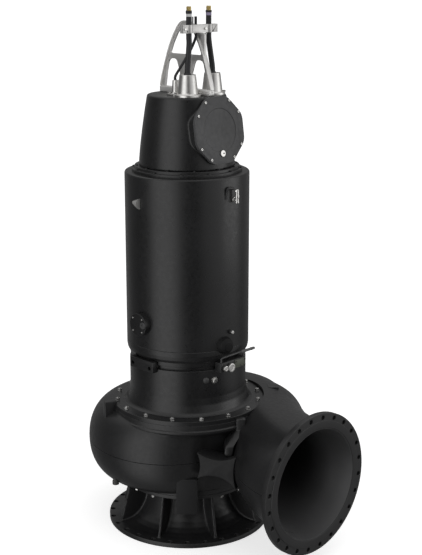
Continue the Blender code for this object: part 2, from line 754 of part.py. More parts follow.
def beside(points, width):
    """An open line moved by a width to the right of its run."""
    line = [Vector(p) for p in points]
    moved = []
    for i, spot in enumerate(line):
        before, after = line[max(0, i - 1)], line[min(len(line) - 1, i + 1)]
        run = (after - before).normalized()
        moved.append(tuple(spot + Vector((run.y, -run.x)) * width))
    return moved


def lifting_bail():
    """Steel bow: a web with three windows, an outer rim, a base bar and the clamp's bracket."""
    base = CONE_TOP + GAP
    low = base + 0.020
    edge = [(-x, z) for x, z in BAIL_EDGE] + list(reversed(BAIL_EDGE))
    inside = beside(edge, 0.0045)
    crown = len(BAIL_EDGE) + 2
    bracket = [(0.104, SHELF_Z - 0.004), (BRACKET_X - 0.004, SHELF_Z - 0.004), (BRACKET_X - 0.004, 3.474)]
    outline = [(-0.2575, low)] + inside[:crown] + bracket + inside[crown + 3:] + [(0.2575, low)]
    upper = [(0.158, 3.489), (0.122, 3.566), (0.082, 3.632), (0.052, 3.668), (0.024, 3.688),
             (-0.024, 3.688), (-0.052, 3.668), (-0.082, 3.632), (-0.122, 3.566), (-0.158, 3.489)]
    side = [(0.213, low + 0.010), (0.192, 3.37), (0.176, 3.430), (0.164, 3.446), (0.146, 3.452),
            (0.112, 3.452), (0.097, 3.446), (0.088, 3.432), (0.062, 3.360), (0.052, low + 0.010)]
    other = [(-x, z) for x, z in side]
    frame = Matrix.Rotation(math.radians(90), 4, "X")
    bail = plate("lifting_bail", outline, 0.013, frame, STEEL)
    for name, window in (("upper", upper), ("right", side), ("left", other)):
        cut(bail, plate(f"bail_window_{name}", window, 0.1, frame, cutter=True))
    rim = plate("bail_rim", edge + beside(edge, 0.009)[::-1], 0.036, frame, cutter=True)
    strip = block("bracket_rim", (0.008, 0.020, SHELF_Z - 3.470),
                  Matrix.Translation((BRACKET_X - 0.004, 0, (SHELF_Z + 3.470) / 2)), cutter=True)
    shelf = block("bracket_shelf", (0.080, 0.030, 0.008),
                  Matrix.Translation((0.150, 0, SHELF_Z - 0.004)), cutter=True)
    foot = block("bail_base", (0.512, 0.050, BAIL_BASE),
                 Matrix.Translation((0, 0, base + BAIL_BASE / 2)), cutter=True)
    add(bail, rim, strip, shelf, foot)
    return bail


# Fittings on the jacket and the bearing housing

def fitting(name, azimuth, radius, height, profile, finish=BLACK, segments=16, cutter=False, shift=0.0):
    """A turned fitting that stands out of a round wall: (radius, reach) points from its tip."""
    spot = around(azimuth, radius, height) @ Matrix.Translation((0, shift, 0))
    return turned(name, profile, finish, segments=segments, cutter=cutter, turn=spot @ OUTWARD)


def inspection_cover():
    """Round flat cover that stands out of the jacket's flank."""
    sink = 0.012
    seat_on(JACKET_RADIUS, fitting("inspection_cover", -90, JACKET_RADIUS - sink, 1.612, [
        (0, 0.058), (0.079, 0.058), (0.083, 0.054), (0.083, 0.0), (0, 0.0),
    ], segments=28), "inspection_seat")


def seat_on(radius, piece, name, low=1.0, high=2.7):
    """Hollows a fitting's back so that it sits on a round wall."""
    wall = rod(name, radius + GAP, high - low, Matrix.Translation((0, 0, low)),
               segments=ROUND * 2, cutter=True)
    cut(piece, wall)


def vent_fitting():
    """Silver elbow high on the jacket's discharge side."""
    body = fitting("vent_fitting", 2, JACKET_RADIUS - 0.006, 2.532, [
        (0, 0.052), (0.018, 0.052), (0.020, 0.050), (0.020, 0.018), (0.028, 0.016), (0.028, 0), (0, 0),
    ], STEEL)
    add(body, rod("vent_riser", 0.019, 0.096, around(2, JACKET_RADIUS + 0.034, 2.506),
                  segments=20, cutter=True))
    seat_on(JACKET_RADIUS, body, "vent_seat")


def cone_lug():
    """Half-cone lug high on the jacket's flank, lying on its side."""
    length = 0.080
    frame = around(-96, JACKET_RADIUS - 0.003, 2.480) @ Matrix.Translation((0, length / 2, 0)) @ STANDING
    lug = rod("cone_lug", 0.0385, length, frame, STEEL, segments=16, radius_end=0.011)
    seat_on(JACKET_RADIUS, lug, "cone_lug_seat")


def jacket_plug():
    """Small silver plug low on the jacket."""
    plug = fitting("jacket_plug", -1.6, JACKET_RADIUS - 0.004, 1.556, [
        (0, 0.036), (0.011, 0.036), (0.0125, 0.034), (0.0125, 0.0), (0, 0),
    ], STEEL)
    seat_on(JACKET_RADIUS, plug, "jacket_plug_seat")


def jacket_boss():
    """Rounded boss that hangs over the jacket's lower seam."""
    boss = fitting("jacket_boss", -8, JACKET_RADIUS - 0.012, 1.464, [
        (0, 0.066), (0.024, 0.064), (0.042, 0.055), (0.056, 0.038), (0.063, 0.018), (0.066, 0), (0, 0),
    ], segments=20)
    seat_on(JACKET_RADIUS, boss, "jacket_boss_seat")


def pad(name, azimuth, front, half_width, low, high):
    """Flat-faced pad that stands off the round top of the bearing housing."""
    depth = front - HOUSING_RADIUS + 0.060
    middle = around(azimuth, front - depth / 2, (low + high) / 2)
    piece = block(name, (depth, 2 * half_width, high - low), middle)
    seat_on(HOUSING_RADIUS, piece, name + "_seat")
    return piece


def flank_plate():
    """Flat pad with two holes, on the bearing housing's flank."""
    plate_ = pad("flank_plate", -91, 0.460, 0.124, PAD_LOW, PAD_HIGH)
    for k, (shift, height) in enumerate(((-0.090, 1.302), (0.088, 1.296))):
        spot = around(-91, 0.400, height) @ Matrix.Translation((0, shift, 0)) @ OUTWARD
        cut(plate_, rod(f"flank_hole_{k}", 0.015, 0.1, spot, segments=16, cutter=True))


def valve_block():
    """Flat pad on the discharge side that carries the valve's bar and caps."""
    pad("valve_block", 0, VALVE_FACE, 0.125, 1.276, PAD_HIGH)


def valve_bar():
    """Handle across the top of the pad: a bent bar, a thicker end and the post that it turns on."""
    x = VALVE_FACE - 0.007
    route = [(x, -0.115, PAD_HIGH + GAP), (x, -0.115, 1.368), (x, -0.107, 1.380), (x, 0.100, 1.386)]
    handle = bar("valve_bar", route, 0.0062)
    end = Matrix.Translation((x, 0.088, 1.385)) @ Matrix.Rotation(math.radians(-90), 4, "X")
    add(handle, rod("handle_end", 0.0095, 0.130, end, segments=12, cutter=True, radius_end=0.006))
    post = Matrix.Translation((x, 0.112, PAD_HIGH + GAP))
    add(handle, rod("handle_post", 0.008, 1.385 - PAD_HIGH, post, segments=12, cutter=True))


def valve_caps():
    """Two silver caps on the pad's face."""
    for name, shift, height, radius in (("valve_cap_left", -0.092, 1.304, 0.021),
                                        ("valve_cap_right", -0.033, 1.299, 0.036)):
        fitting(name, 0, VALVE_FACE + GAP, height, [
            (0, 0.024), (radius - 0.004, 0.024), (radius, 0.020), (radius, 0.006), (radius - 0.006, 0.005),
            (radius - 0.006, 0.0), (0, 0.0),
        ], STEEL, shift=shift)


def oil_plug():
    """Small silver plug under the pad."""
    plug = fitting("oil_plug", -18.2, HOUSING_RADIUS - 0.004, 1.211, [
        (0, 0.030), (0.012, 0.030), (0.016, 0.027), (0.016, 0.014), (0.024, 0.012), (0.024, 0), (0, 0),
    ], STEEL)
    seat_on(HOUSING_RADIUS, plug, "oil_plug_seat")


def build():
    suction_stand()
    suction_cover()
    volute_casing()
    impeller()
    bearing_housing()
    seal_ring()
    motor_base()
    motor_jacket()
    motor_cap()
    terminal_housing()
    terminal_cover()
    cover_plug()
    for name, side in (("left", -1), ("right", 1)):
        gland(f"power_gland_{name}", GLAND_X, side * GLAND_Y, 0.057, 0.073, GLAND_HEIGHT, 0.092, 0.016)
        power_cable(f"power_cable_{name}", side)
        cable_cores(f"cable_cores_{name}", side)
    gland("control_gland", *CONTROL_FOOT, 0.0215, 0.026, CONTROL_HEIGHT, 0.0285, 0.012)
    control_cable()
    cable_clamp()
    lifting_bail()
    inspection_cover()
    vent_fitting()
    cone_lug()
    jacket_plug()
    jacket_boss()
    flank_plate()
    valve_block()
    valve_bar()
    valve_caps()
    oil_plug()


build()
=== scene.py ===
"""Visual model of the sewage pump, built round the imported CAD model.

Metres, +Z up. Shapes are made on the pump's own centre line and moved to AXIS at the end, so their
numbers are those of the CAD source.
"""
from math import copysign, cos, pi, radians, sin, sqrt, tan

import bmesh
import bpy
from mathutils import Matrix, Vector


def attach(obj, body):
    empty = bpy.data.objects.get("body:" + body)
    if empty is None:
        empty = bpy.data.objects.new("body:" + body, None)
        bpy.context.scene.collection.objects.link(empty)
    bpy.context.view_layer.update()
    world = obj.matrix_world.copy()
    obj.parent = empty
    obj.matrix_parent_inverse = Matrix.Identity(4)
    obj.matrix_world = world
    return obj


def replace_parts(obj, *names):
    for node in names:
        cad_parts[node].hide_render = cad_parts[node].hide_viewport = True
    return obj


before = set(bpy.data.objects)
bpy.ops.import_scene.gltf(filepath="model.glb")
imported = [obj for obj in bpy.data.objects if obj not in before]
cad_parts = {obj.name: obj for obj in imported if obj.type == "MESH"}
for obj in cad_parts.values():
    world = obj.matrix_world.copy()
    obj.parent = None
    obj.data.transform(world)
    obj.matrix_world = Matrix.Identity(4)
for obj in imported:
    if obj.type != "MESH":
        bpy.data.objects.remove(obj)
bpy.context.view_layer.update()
STILL = Matrix.Identity(4)

# Sizes shared with the CAD source
GAP = 0.0003
STAND_TOP, COVER_TOP, EYE = 0.35, 0.392, 0.304
SEAM_Z, COLLAR_TOP, IMPELLER_BAY, WALL = 0.63, 0.925, 0.44, 0.032
FACE_X, BORE, NECK_END = 1.27, 0.4, 0.404
FLANGE_RADIUS, FLANGE_THICK, RAISED_RADIUS, RAISED = 0.5075, 0.046, 0.452, 0.005
BASE_DRILLING, FLANGE_DRILLING = (28, 0.58, 0.018), (24, 0.475, 0.0165)
HOUSING_TOP, HOUSING_RADIUS, BOLT_FLANGE_TOP = 1.288, 0.43, 0.957
MOTOR_BOTTOM, TAPER_TOP, JACKET_TOP, JACKET_RADIUS = 1.318, 1.434, 2.672, 0.449
CAP_TOP, CONE_TOP, CONE_FOOT_RADIUS, CONE_TOP_RADIUS = 2.712, 3.212, 0.344, 0.28
COVER_FACE_X, COVER_THICK, COVER_Z, COVER_FLAT, COVER_LEAN = 0.335, 0.022, 2.985, 0.232, -8.3
GLAND_X, GLAND_Y, GLAND_HEIGHT, GLAND_FLANGE = 0.136, 0.12, 0.15, 0.014
CABLE_RADIUS, CONTROL_RADIUS, CABLE_SPREAD = 0.0195, 0.0095, 0.0955
CLAMP_X, CLAMP_Z, CLAMP_HEIGHT, CABLE_END = 0.125, 3.669, 0.056, 3.79
CONTROL_FOOT, CONTROL_HEIGHT, CONTROL_SPOT = (0.014, -0.1205), 0.105, (0.124, -0.029)
VALVE_FACE, PAD_LOW, PAD_HIGH = 0.47, 1.266, 1.345

# Sizes of this model alone
FINE = 192                      # sides of the large turned shapes
SPIRAL_START = 0.3              # angle of the spiral's first section
COLLAR_SEAT, COVER_SEAT = 0.569, 0.484
CASING = "volute_casing"
CORES_TOP, WIRE_SPOT = 3.8215, (0.124, -0.0575)
COVER_HOLE_RADIUS, COVER_DISH_DEPTH = 0.0125, 0.004


# Objects and frames

def in_scene(name, data):
    """A new object with the data, linked into the scene."""
    thing = bpy.data.objects.new(name, data)
    bpy.context.scene.collection.objects.link(thing)
    return thing


def at(x=0.0, y=0.0, z=0.0):
    return Matrix.Translation((x, y, z))


AXIS = at(-0.22, -0.142)         # the pump's centre line


def spin(degrees, axis):
    return Matrix.Rotation(radians(degrees), 4, axis)


def around(azimuth, radius=0.0, height=0.0):
    """A frame on the pump's axis, turned to an azimuth in degrees: local +X points outward."""
    return spin(azimuth, "Z") @ at(radius, 0, height)


OUTWARD = spin(90, "Y")          # local +Z becomes outward +X
STANDING = spin(90, "X")         # local +Y becomes +Z
UPRIGHT = Matrix(((0, 0, 1, 0), (1, 0, 0, 0), (0, 1, 0, 0), (0, 0, 0, 1)))
FLANGE_FRAME = at(FACE_X, 0, SEAM_Z) @ OUTWARD
COVER_FRAME = at(COVER_FACE_X, 0, COVER_Z) @ spin(COVER_LEAN, "Y")


def outside(azimuth, radius, height, aside=0.0):
    """A frame on a round wall whose +Z points outward and +Y runs sideways."""
    return around(azimuth, radius, height) @ at(0, aside) @ OUTWARD


# Camera, fitted to the bolt circles of both flanges and of the casing

CAMERA_TURN, CAMERA_PITCH, CAMERA_YAW = 46.18, 14.4744, 1.1243      # degrees
CAMERA_SPOT = (0, -8.7785, 4.1364)                                  # before the turn
FOCAL_PIXELS, PHOTO_HEIGHT, SENSOR = 1235.5, 555.0, 36.0


def photo_camera():
    turn = Matrix.Rotation(radians(CAMERA_TURN), 3, "Z")
    pitch, yaw = radians(CAMERA_PITCH), radians(CAMERA_YAW)
    ahead = turn @ Vector((sin(yaw) * cos(pitch), cos(yaw) * cos(pitch), -sin(pitch)))
    data = bpy.data.cameras.new("photo_camera")
    data.sensor_width = SENSOR
    data.lens = FOCAL_PIXELS * SENSOR / PHOTO_HEIGHT
    data.clip_end = 400.0
    camera = in_scene("photo_camera", data)
    camera.matrix_world = (Matrix.Translation(AXIS.translation + turn @ Vector(CAMERA_SPOT))
                           @ ahead.to_track_quat("-Z", "Y").to_matrix().to_4x4())
    bpy.context.scene.camera = camera


# Materials

class Nodes:
    """A tree whose nodes are made by kind, with their settings and inputs."""

    def __init__(self, tree):
        self.tree = tree

    def fill(self, node, inputs):
        """Values and links for a node's inputs."""
        for key, value in inputs.items():
            if isinstance(value, bpy.types.NodeSocket):
                self.tree.links.new(value, node.inputs[key])
            else:
                node.inputs[key].default_value = value

    def add(self, kind, inputs=None, **settings):
        node = self.tree.nodes.new("ShaderNode" + kind)
        for key, value in settings.items():
            setattr(node, key, value)
        self.fill(node, inputs or {})
        return node

    def span(self, value, low, high, start=0.3, end=0.7, **settings):
        """A value between two limits, driven by another that runs from start to end."""
        return self.add("MapRange", {"Value": value, "From Min": start, "From Max": end,
                                     "To Min": low, "To Max": high}, **settings).outputs[0]

    def dot(self, one, two):
        return self.add("VectorMath", {0: one, 1: two}, operation="DOT_PRODUCT").outputs["Value"]

    def blend(self, factor, one, two):
        """Two colours mixed by a factor."""
        one, two = (c if isinstance(c, bpy.types.NodeSocket) else (*c, 1) for c in (one, two))
        return self.add("Mix", {0: factor, 6: one, 7: two}, data_type="RGBA").outputs[2]


class Paint(Nodes):
    """A material's nodes round its shader."""

    def __init__(self, name):
        self.material = bpy.data.materials.new(name)
        self.material.use_nodes = True
        super().__init__(self.material.node_tree)
        self.shader = self.tree.nodes["Principled BSDF"]

    def noise(self, scale, detail, stretch=None):
        """Noise over the object's own coordinates, in metres."""
        place = self.add("TexCoord").outputs["Object"]
        if stretch:
            place = self.add("Mapping", {"Vector": place, "Scale": stretch}).outputs[0]
        return self.add("TexNoise", {"Vector": place, "Scale": scale, "Detail": detail}).outputs[0]

    def edges(self, radius):
        """1 along outer and inner edges and 0 on smooth faces."""
        soft = self.add("Bevel", {"Radius": radius}, samples=4).outputs[0]
        flat = self.add("NewGeometry").outputs["Normal"]
        return self.span(self.dot(soft, flat), 0.0, 1.0, 1.0, 0.88)

    def bumped(self, height, strength, distance):
        bump = self.add("Bump", {"Height": height, "Strength": strength, "Distance": distance})
        self.fill(self.shader, {"Normal": bump.outputs[0]})

    def set(self, **values):
        """The material, with values or links on its shader."""
        self.fill(self.shader, {key.replace("_", " "): value for key, value in values.items()})
        return self.material


def shades(colour, *factors):
    """A colour made darker or paler."""
    return [tuple(c * factor for c in colour) for factor in factors]


def painted(name, colour, worn, roughness, grain, rough_cast, wear=0.5, shine=0.5):
    """Epoxy paint on cast or machined iron: mottled, finely grained, paler along its edges."""
    t = Paint(name)
    broad, fine = t.noise(2.2, 4), t.noise(38, 5)
    coat = t.blend(t.span(broad, 0, 1), *shades(colour, 0.78, 1.35))
    worn_edge = t.add("Math", {0: t.edges(0.006), 1: t.span(fine, 0.25 * wear, wear)},
                      operation="MULTIPLY").outputs[0]
    coat = t.blend(worn_edge, coat, worn)
    t.bumped(t.noise(grain, 4), rough_cast, 0.0012)
    return t.set(Base_Color=coat, Roughness=t.span(fine, roughness - 0.05, roughness + 0.07),
                 Specular_IOR_Level=shine)


def steel(name, roughness, tint, scale, depth=0.12, metal=1.0, stretch=None):
    """Stainless steel with machining marks, slightly darker where it is handled."""
    t = Paint(name)
    marks, smudge = t.noise(scale, 3, stretch), t.noise(9, 4)
    shade = t.blend(t.span(smudge, 0, 1), *shades(tint, 0.88, 1))
    shade = t.blend(t.edges(0.002), shade, (0.86, 0.86, 0.85))
    t.bumped(marks, depth, 0.0005)
    return t.set(Base_Color=shade, Metallic=metal,
                 Roughness=t.span(marks, roughness - 0.03, roughness + 0.04))


def sheath(name, colour, roughness=0.5):
    """Cable sheath: smooth rubber with faint streaks along its length."""
    t = Paint(name)
    streak, dust = t.noise(40, 3, (1, 1, 0.06)), t.noise(60, 4)
    shade = t.blend(t.span(streak, 0, 1), *shades(colour, 0.8, 1.3))
    t.bumped(dust, 0.15, 0.0004)
    return t.set(Base_Color=shade, Roughness=t.span(dust, roughness - 0.06, roughness + 0.08))


def brass(name):
    """Bare stranded copper alloy."""
    t = Paint(name)
    strands, tarnish = t.noise(260, 2, (1, 1, 0.08)), t.noise(50, 3)
    shade = t.blend(t.span(tarnish, 0, 1), (0.44, 0.32, 0.1), (0.72, 0.58, 0.27))
    t.bumped(strands, 0.6, 0.0008)
    return t.set(Base_Color=shade, Metallic=1.0, Roughness=t.span(tarnish, 0.26, 0.42))


BLACK = (0.0125, 0.0125, 0.013)
CAST = painted("cast_paint", BLACK, (0.05, 0.05, 0.051), 0.37, 90, 0.3)
SMOOTH = painted("smooth_paint", BLACK, (0.052, 0.052, 0.053), 0.31, 60, 0.02)
FACED = painted("faced_paint", (0.015, 0.015, 0.0155), (0.06, 0.06, 0.061), 0.37, 200, 0.12)
# Four times paler than the casing's black: painted light, which brightens the inside of the neck
# and bore as if light fell into it
BORE_PAINTED_LIGHT = painted("bore_painted_light", (0.05, 0.05, 0.051), (0.06, 0.06, 0.06), 0.4, 120, 0.1, 0.3, 0.9)
MATTE = painted("matte_paint", (0.014, 0.014, 0.0145), (0.045, 0.045, 0.046), 0.5, 120, 0.15,
                shine=0.28)
COVER_PAINT = painted("cover_paint", (0.06, 0.06, 0.062), (0.12, 0.12, 0.12), 0.48, 260, 0.18)
OLIVE = painted("plate_paint", (0.085, 0.092, 0.072), (0.14, 0.15, 0.12), 0.45, 240, 0.15)
IRON = painted("bare_iron", (0.05, 0.048, 0.046), (0.16, 0.15, 0.14), 0.5, 120, 0.4)
# Nearly black and with little shine: painted shade, which keeps the jacket's nose dark all round as
# if it stood in shadow
SHADED_NOSE_PAINT = painted("nose_painted_shade", (0.007, 0.007, 0.0073), (0.012, 0.012, 0.012), 0.55, 120, 0.1,
                     shine=0.2)
GRIP_PAINT = painted("grip_grey", (0.1, 0.1, 0.1), (0.2, 0.2, 0.2), 0.45, 260, 0.1)
GREY_BAR = painted("bar_grey", (0.05, 0.05, 0.051), (0.14, 0.14, 0.14), 0.42, 260, 0.1)
STEEL = steel("turned_steel", 0.32, (0.8, 0.79, 0.77), 12, 0.01, stretch=(1, 1, 4))
PLATE_STEEL = steel("plate_steel", 0.4, (0.72, 0.71, 0.695), 60, 0.02, 0.8)
# Paler and glossier than the plate steel: the gloss is the rim's own, the paler tint is painted
# highlight on the bail's rim and foot
RIM_STEEL_PAINTED_HIGHLIGHT = steel("rim_steel_painted_highlight", 0.3, (0.9, 0.89, 0.87), 60, 0.02, 0.5)
BOLT_STEEL = steel("bolt_steel", 0.24, (0.72, 0.71, 0.69), 160)
# Darker and rougher than the bolt steel: the rougher finish is the bolts' own, the darker tint is
# painted shade on the casing bolts in the flange's shadowed band
DULL_SHADED_STEEL = steel("dull_steel_painted_shade", 0.42, (0.4, 0.395, 0.385), 160)
SHEATH = sheath("black_sheath", (0.016, 0.016, 0.018))
BAND_WHITE = sheath("white_band", (0.7, 0.7, 0.7), 0.55)
BAND_MAUVE = sheath("mauve_band", (0.34, 0.3, 0.44), 0.55)
WIRE_GREY = sheath("grey_wire", (0.45, 0.45, 0.45))
BRASS = brass("bare_cores")


# Makers of meshes

def mesh_of(bm, matrix=STILL):
    """A mesh with outward faces from a bmesh."""
    bmesh.ops.transform(bm, matrix=matrix, verts=bm.verts)
    bmesh.ops.recalc_face_normals(bm, faces=bm.faces)
    return plain_mesh(bm)


def plain_mesh(bm):
    mesh = bpy.data.meshes.new("shape")
    bm.to_mesh(mesh)
    bm.free()
    return mesh


def joined(*meshes):
    """Several meshes as one."""
    bm = bmesh.new()
    for mesh in meshes:
        bm.from_mesh(mesh)
    return plain_mesh(bm)


def moved(mesh, matrix):
    copy = mesh.copy()
    copy.transform(matrix)
    if matrix.determinant() < 0:
        copy.flip_normals()
    return copy


def copies(mesh, places):
    """Copies of a mesh at several places, as one mesh."""
    return joined(*(moved(mesh, place) for place in places))


def ring_of(mesh, count, circle, height=0.0, phase=0.0, skip=(), matrix=STILL):
    """Copies of a mesh on a circle round the matrix's +Z."""
    return copies(mesh, (matrix @ around(phase + 360 * k / count, circle, height)
                         for k in range(count) if k not in skip))


def rounded(profile, closed=False, steps=4):
    """Points whose third value, where it isn't 0, turns the corner into an arc of that radius."""
    line = []
    count = len(profile)
    for i, point in enumerate(profile):
        spot = Vector(point[:2])
        if not any(point[2:]) or (not closed and i in (0, count - 1)):
            line.append(spot)
            continue
        back = Vector(profile[i - 1][:2]) - spot
        on = Vector(profile[(i + 1) % count][:2]) - spot
        half = back.angle(on) / 2
        run = min(point[2] / tan(half), back.length * 0.48, on.length * 0.48)
        start, end = spot + back.normalized() * run, spot + on.normalized() * run
        for k in range(steps + 1):
            u = k / steps
            line.append((1 - u) ** 2 * start + 2 * u * (1 - u) * spot + u * u * end)
    return line


def turns(count):
    """Angles evenly round a circle."""
    return [2 * pi * i / count for i in range(count)]


def loft(rings, endless=False, matrix=STILL):
    """A solid through unlike sections, any of which may be a single point."""
    bm = bmesh.new()
    rows = [[bm.verts.new(point) for point in ring] for ring in rings]
    pairs = list(zip(rows, rows[1:]))
    if endless:
        pairs.append((rows[-1], rows[0]))
    for one, two in pairs:
        for i in range(max(len(one), len(two))):
            corners = ((one, i), (one, i + 1), (two, i + 1), (two, i))
            face = dict.fromkeys(row[k % len(row)] for row, k in corners)
            if len(face) > 2:
                bm.faces.new(face)
    for row in (rows[0], rows[-1]):
        if len(row) > 2 and not endless:
            bm.faces.new(row)
    return mesh_of(bm, matrix)


def lathe(profile, sides, matrix=STILL, closed=False, steps=4):
    """A turned shape from (radius, height[, corner radius]) points."""
    rings = []
    for radius, height in rounded(profile, closed, steps):
        angles = turns(sides) if radius > 1e-6 else [0]
        rings.append([(radius * cos(a), radius * sin(a), height) for a in angles])
    return loft(rings, closed, matrix)


def hoop(profile, sides=FINE):
    """A turned shape with a hole, from a profile that runs back to its first point."""
    return lathe(profile, sides, closed=True)


def turned(profile, sides, matrix=STILL, steps=4):
    """A turned solid, flat at both ends from the profile to the axis."""
    return lathe([(0, profile[0][1]), *profile, (0, profile[-1][1])], sides, matrix, steps=steps)


def drum(radius, low, high, sides, matrix=STILL, top=0.0, foot=0.0, steps=4):
    """A turned disc or bar, whose two edges may be rounded."""
    return turned([(radius, high, top), (radius, low, foot)], sides, matrix, steps)


def plate(outline, thickness, matrix=STILL):
    """A flat outline in the matrix's XY plane, extruded evenly to both sides."""
    return loft([[(x, y, z) for x, y in outline] for z in (-thickness / 2, thickness / 2)],
                matrix=matrix)


def block(size, matrix=STILL):
    bm = bmesh.new()
    bmesh.ops.create_cube(bm, size=1.0, matrix=Matrix.Diagonal((*size, 1)))
    return mesh_of(bm, matrix)


def tube(route, radius, sides):
    """A round bar along points, with its ends closed; radius may be a function of 0 to 1."""
    rings = []
    last = len(route) - 1
    side = None
    for i, spot in enumerate(route):
        run = direction(route, i)
        if side is None:
            side = run.orthogonal().normalized()
        side = (side - run * side.dot(run)).normalized()
        up = run.cross(side)
        size = radius(i / last) if callable(radius) else radius
        rings.append([Vector(spot) + (side * cos(a) + up * sin(a)) * size for a in turns(sides)])
    return loft(rings)


def direction(route, i):
    """The way that a route runs at one of its points."""
    last = len(route) - 1
    return (Vector(route[min(last, i + 1)]) - Vector(route[max(0, i - 1)])).normalized()


def curve(p0, p1, p2, p3, t):
    """A point between the second and the third of four, on a smooth curve through them all."""
    return 0.5 * ((2 * p1) + (p2 - p0) * t + (2 * p0 - 5 * p1 + 4 * p2 - p3) * t * t
                  + (3 * p1 - p0 - 3 * p2 + p3) * t ** 3)


def four(values, i):
    """The values from i - 1 to i + 2, as far as there are any."""
    return [values[max(0, min(len(values) - 1, i + k))] for k in (-1, 0, 1, 2)]


def smooth_route(points, spacing):
    """Evenly spaced points on a smooth curve through the given ones."""
    points = [Vector(point) for point in points]
    route = points[:1]
    for i in range(len(points) - 1):
        count = max(1, round((points[i + 1] - points[i]).length / spacing))
        route += [curve(*four(points, i), k / count) for k in range(1, count + 1)]
    return route


def flowing(rows, t):
    """A point on a smooth curve through each column of a table, at a place from 0 to 1."""
    last = len(rows) - 1
    i = min(int(t * last), last - 1)
    return [curve(*map(Vector, column), t * last - i) for column in zip(*four(rows, i))]


def smooth(edge0, edge1, value):
    ramp = min(1.0, max(0.0, (value - edge0) / (edge1 - edge0)))
    return ramp * ramp * (3 - 2 * ramp)


def modify(thing, kind, **settings):
    modifier = thing.modifiers.new(kind.lower(), kind)
    for key, value in settings.items():
        setattr(modifier, key, value)


def worked(mesh, cuts=(), joins=(), bevel=0.0, segments=2, solver="EXACT", voxel=0.0, rounds=0):
    """A mesh after a voxel remesh with smoothing, Booleans or a bevel."""
    holder = in_scene("work", mesh)
    helpers = []
    if voxel:
        modify(holder, "REMESH", mode="VOXEL", voxel_size=voxel, use_smooth_shade=True)
        modify(holder, "SMOOTH", factor=0.5, iterations=rounds)
    for others, operation in ((joins, "UNION"), (cuts, "DIFFERENCE")):
        for other in others:
            helpers.append(in_scene("helper", other))
            modify(holder, "BOOLEAN", operation=operation, solver=solver, object=helpers[-1])
    if bevel:
        modify(holder, "BEVEL", width=bevel, segments=segments, limit_method="ANGLE",
               angle_limit=radians(32), use_clamp_overlap=True)
    bpy.context.view_layer.update()
    seen = holder.evaluated_get(bpy.context.evaluated_depsgraph_get())
    made = bpy.data.meshes.new_from_object(seen)
    for thing in (holder, *helpers):
        bpy.data.objects.remove(thing, do_unlink=True)
    return made


def bar(size, matrix, bevel):
    """A block with rounded edges."""
    return worked(block(size, matrix), bevel=bevel, segments=3)


def piece(name, mesh, material, slot, angle=34):
    """A finished piece: moved to the pump's axis, shaded and riding on the part."""
    mesh.transform(AXIS)
    mesh.name = name
    mesh.materials.clear()
    mesh.materials.append(material)
    mesh.shade_smooth()
    mesh.set_sharp_from_angle(angle=radians(angle))
    shown = in_scene(name, mesh)
    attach(shown, "root")
    return shown


def stand_in(name, mesh, material, node, angle=34):
    """A piece that replaces a CAD node, which it hides."""
    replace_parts(piece(name, mesh, material, node, angle), node)


def fastening(name, mesh, slot, material=BOLT_STEEL):
    """A piece made of bolts or screws, whose flats stay crisp."""
    piece(name, mesh, material, slot, 25)


def drills(count, circle, radius, depth, matrix=STILL):
    """Drills with countersunk ends on a circle, along the matrix's +Z from 0 to depth."""
    chamfer, beyond = 0.002, 0.004
    wide = radius + chamfer + beyond
    drill = turned([
        (wide, depth + beyond), (radius, depth - chamfer), (radius, chamfer), (wide, -beyond),
    ], 24)
    return moved(ring_of(drill, count, circle, phase=180 / count), matrix)


def hexagon(across, height, washer=0.0, stud=0.0):
    """A hexagon head standing on z = 0, on a washer and with a stud's end if given."""
    chamfer, washer_height = 0.0015, 0.003
    base = washer_height if washer else 0.0
    parts = [drum(washer, 0.0, washer_height, 24, top=0.0008)] if washer else []
    reach = across / sqrt(3)
    levels = ((1.0, base), (1.0, base + height - chamfer), (0.9, base + height))
    corners = [radians(60 * i) for i in range(6)]
    parts.append(loft([[(reach * s * cos(a), reach * s * sin(a), z) for a in corners]
                       for s, z in levels]))
    if stud:
        end, face = base + height + stud, base + height - 0.002
        parts.append(turned([(across * 0.25, end, 0.002), (across * 0.27, face)], 16))
    return joined(*parts)


def socket_screw(radius, height):
    """A round screw head with a hexagon socket, standing on z = 0."""
    head = drum(radius, 0, height, 20, top=radius * 0.2)
    return worked(head, [moved(hexagon(radius, height), at(z=height * 0.45))])


# Suction stand

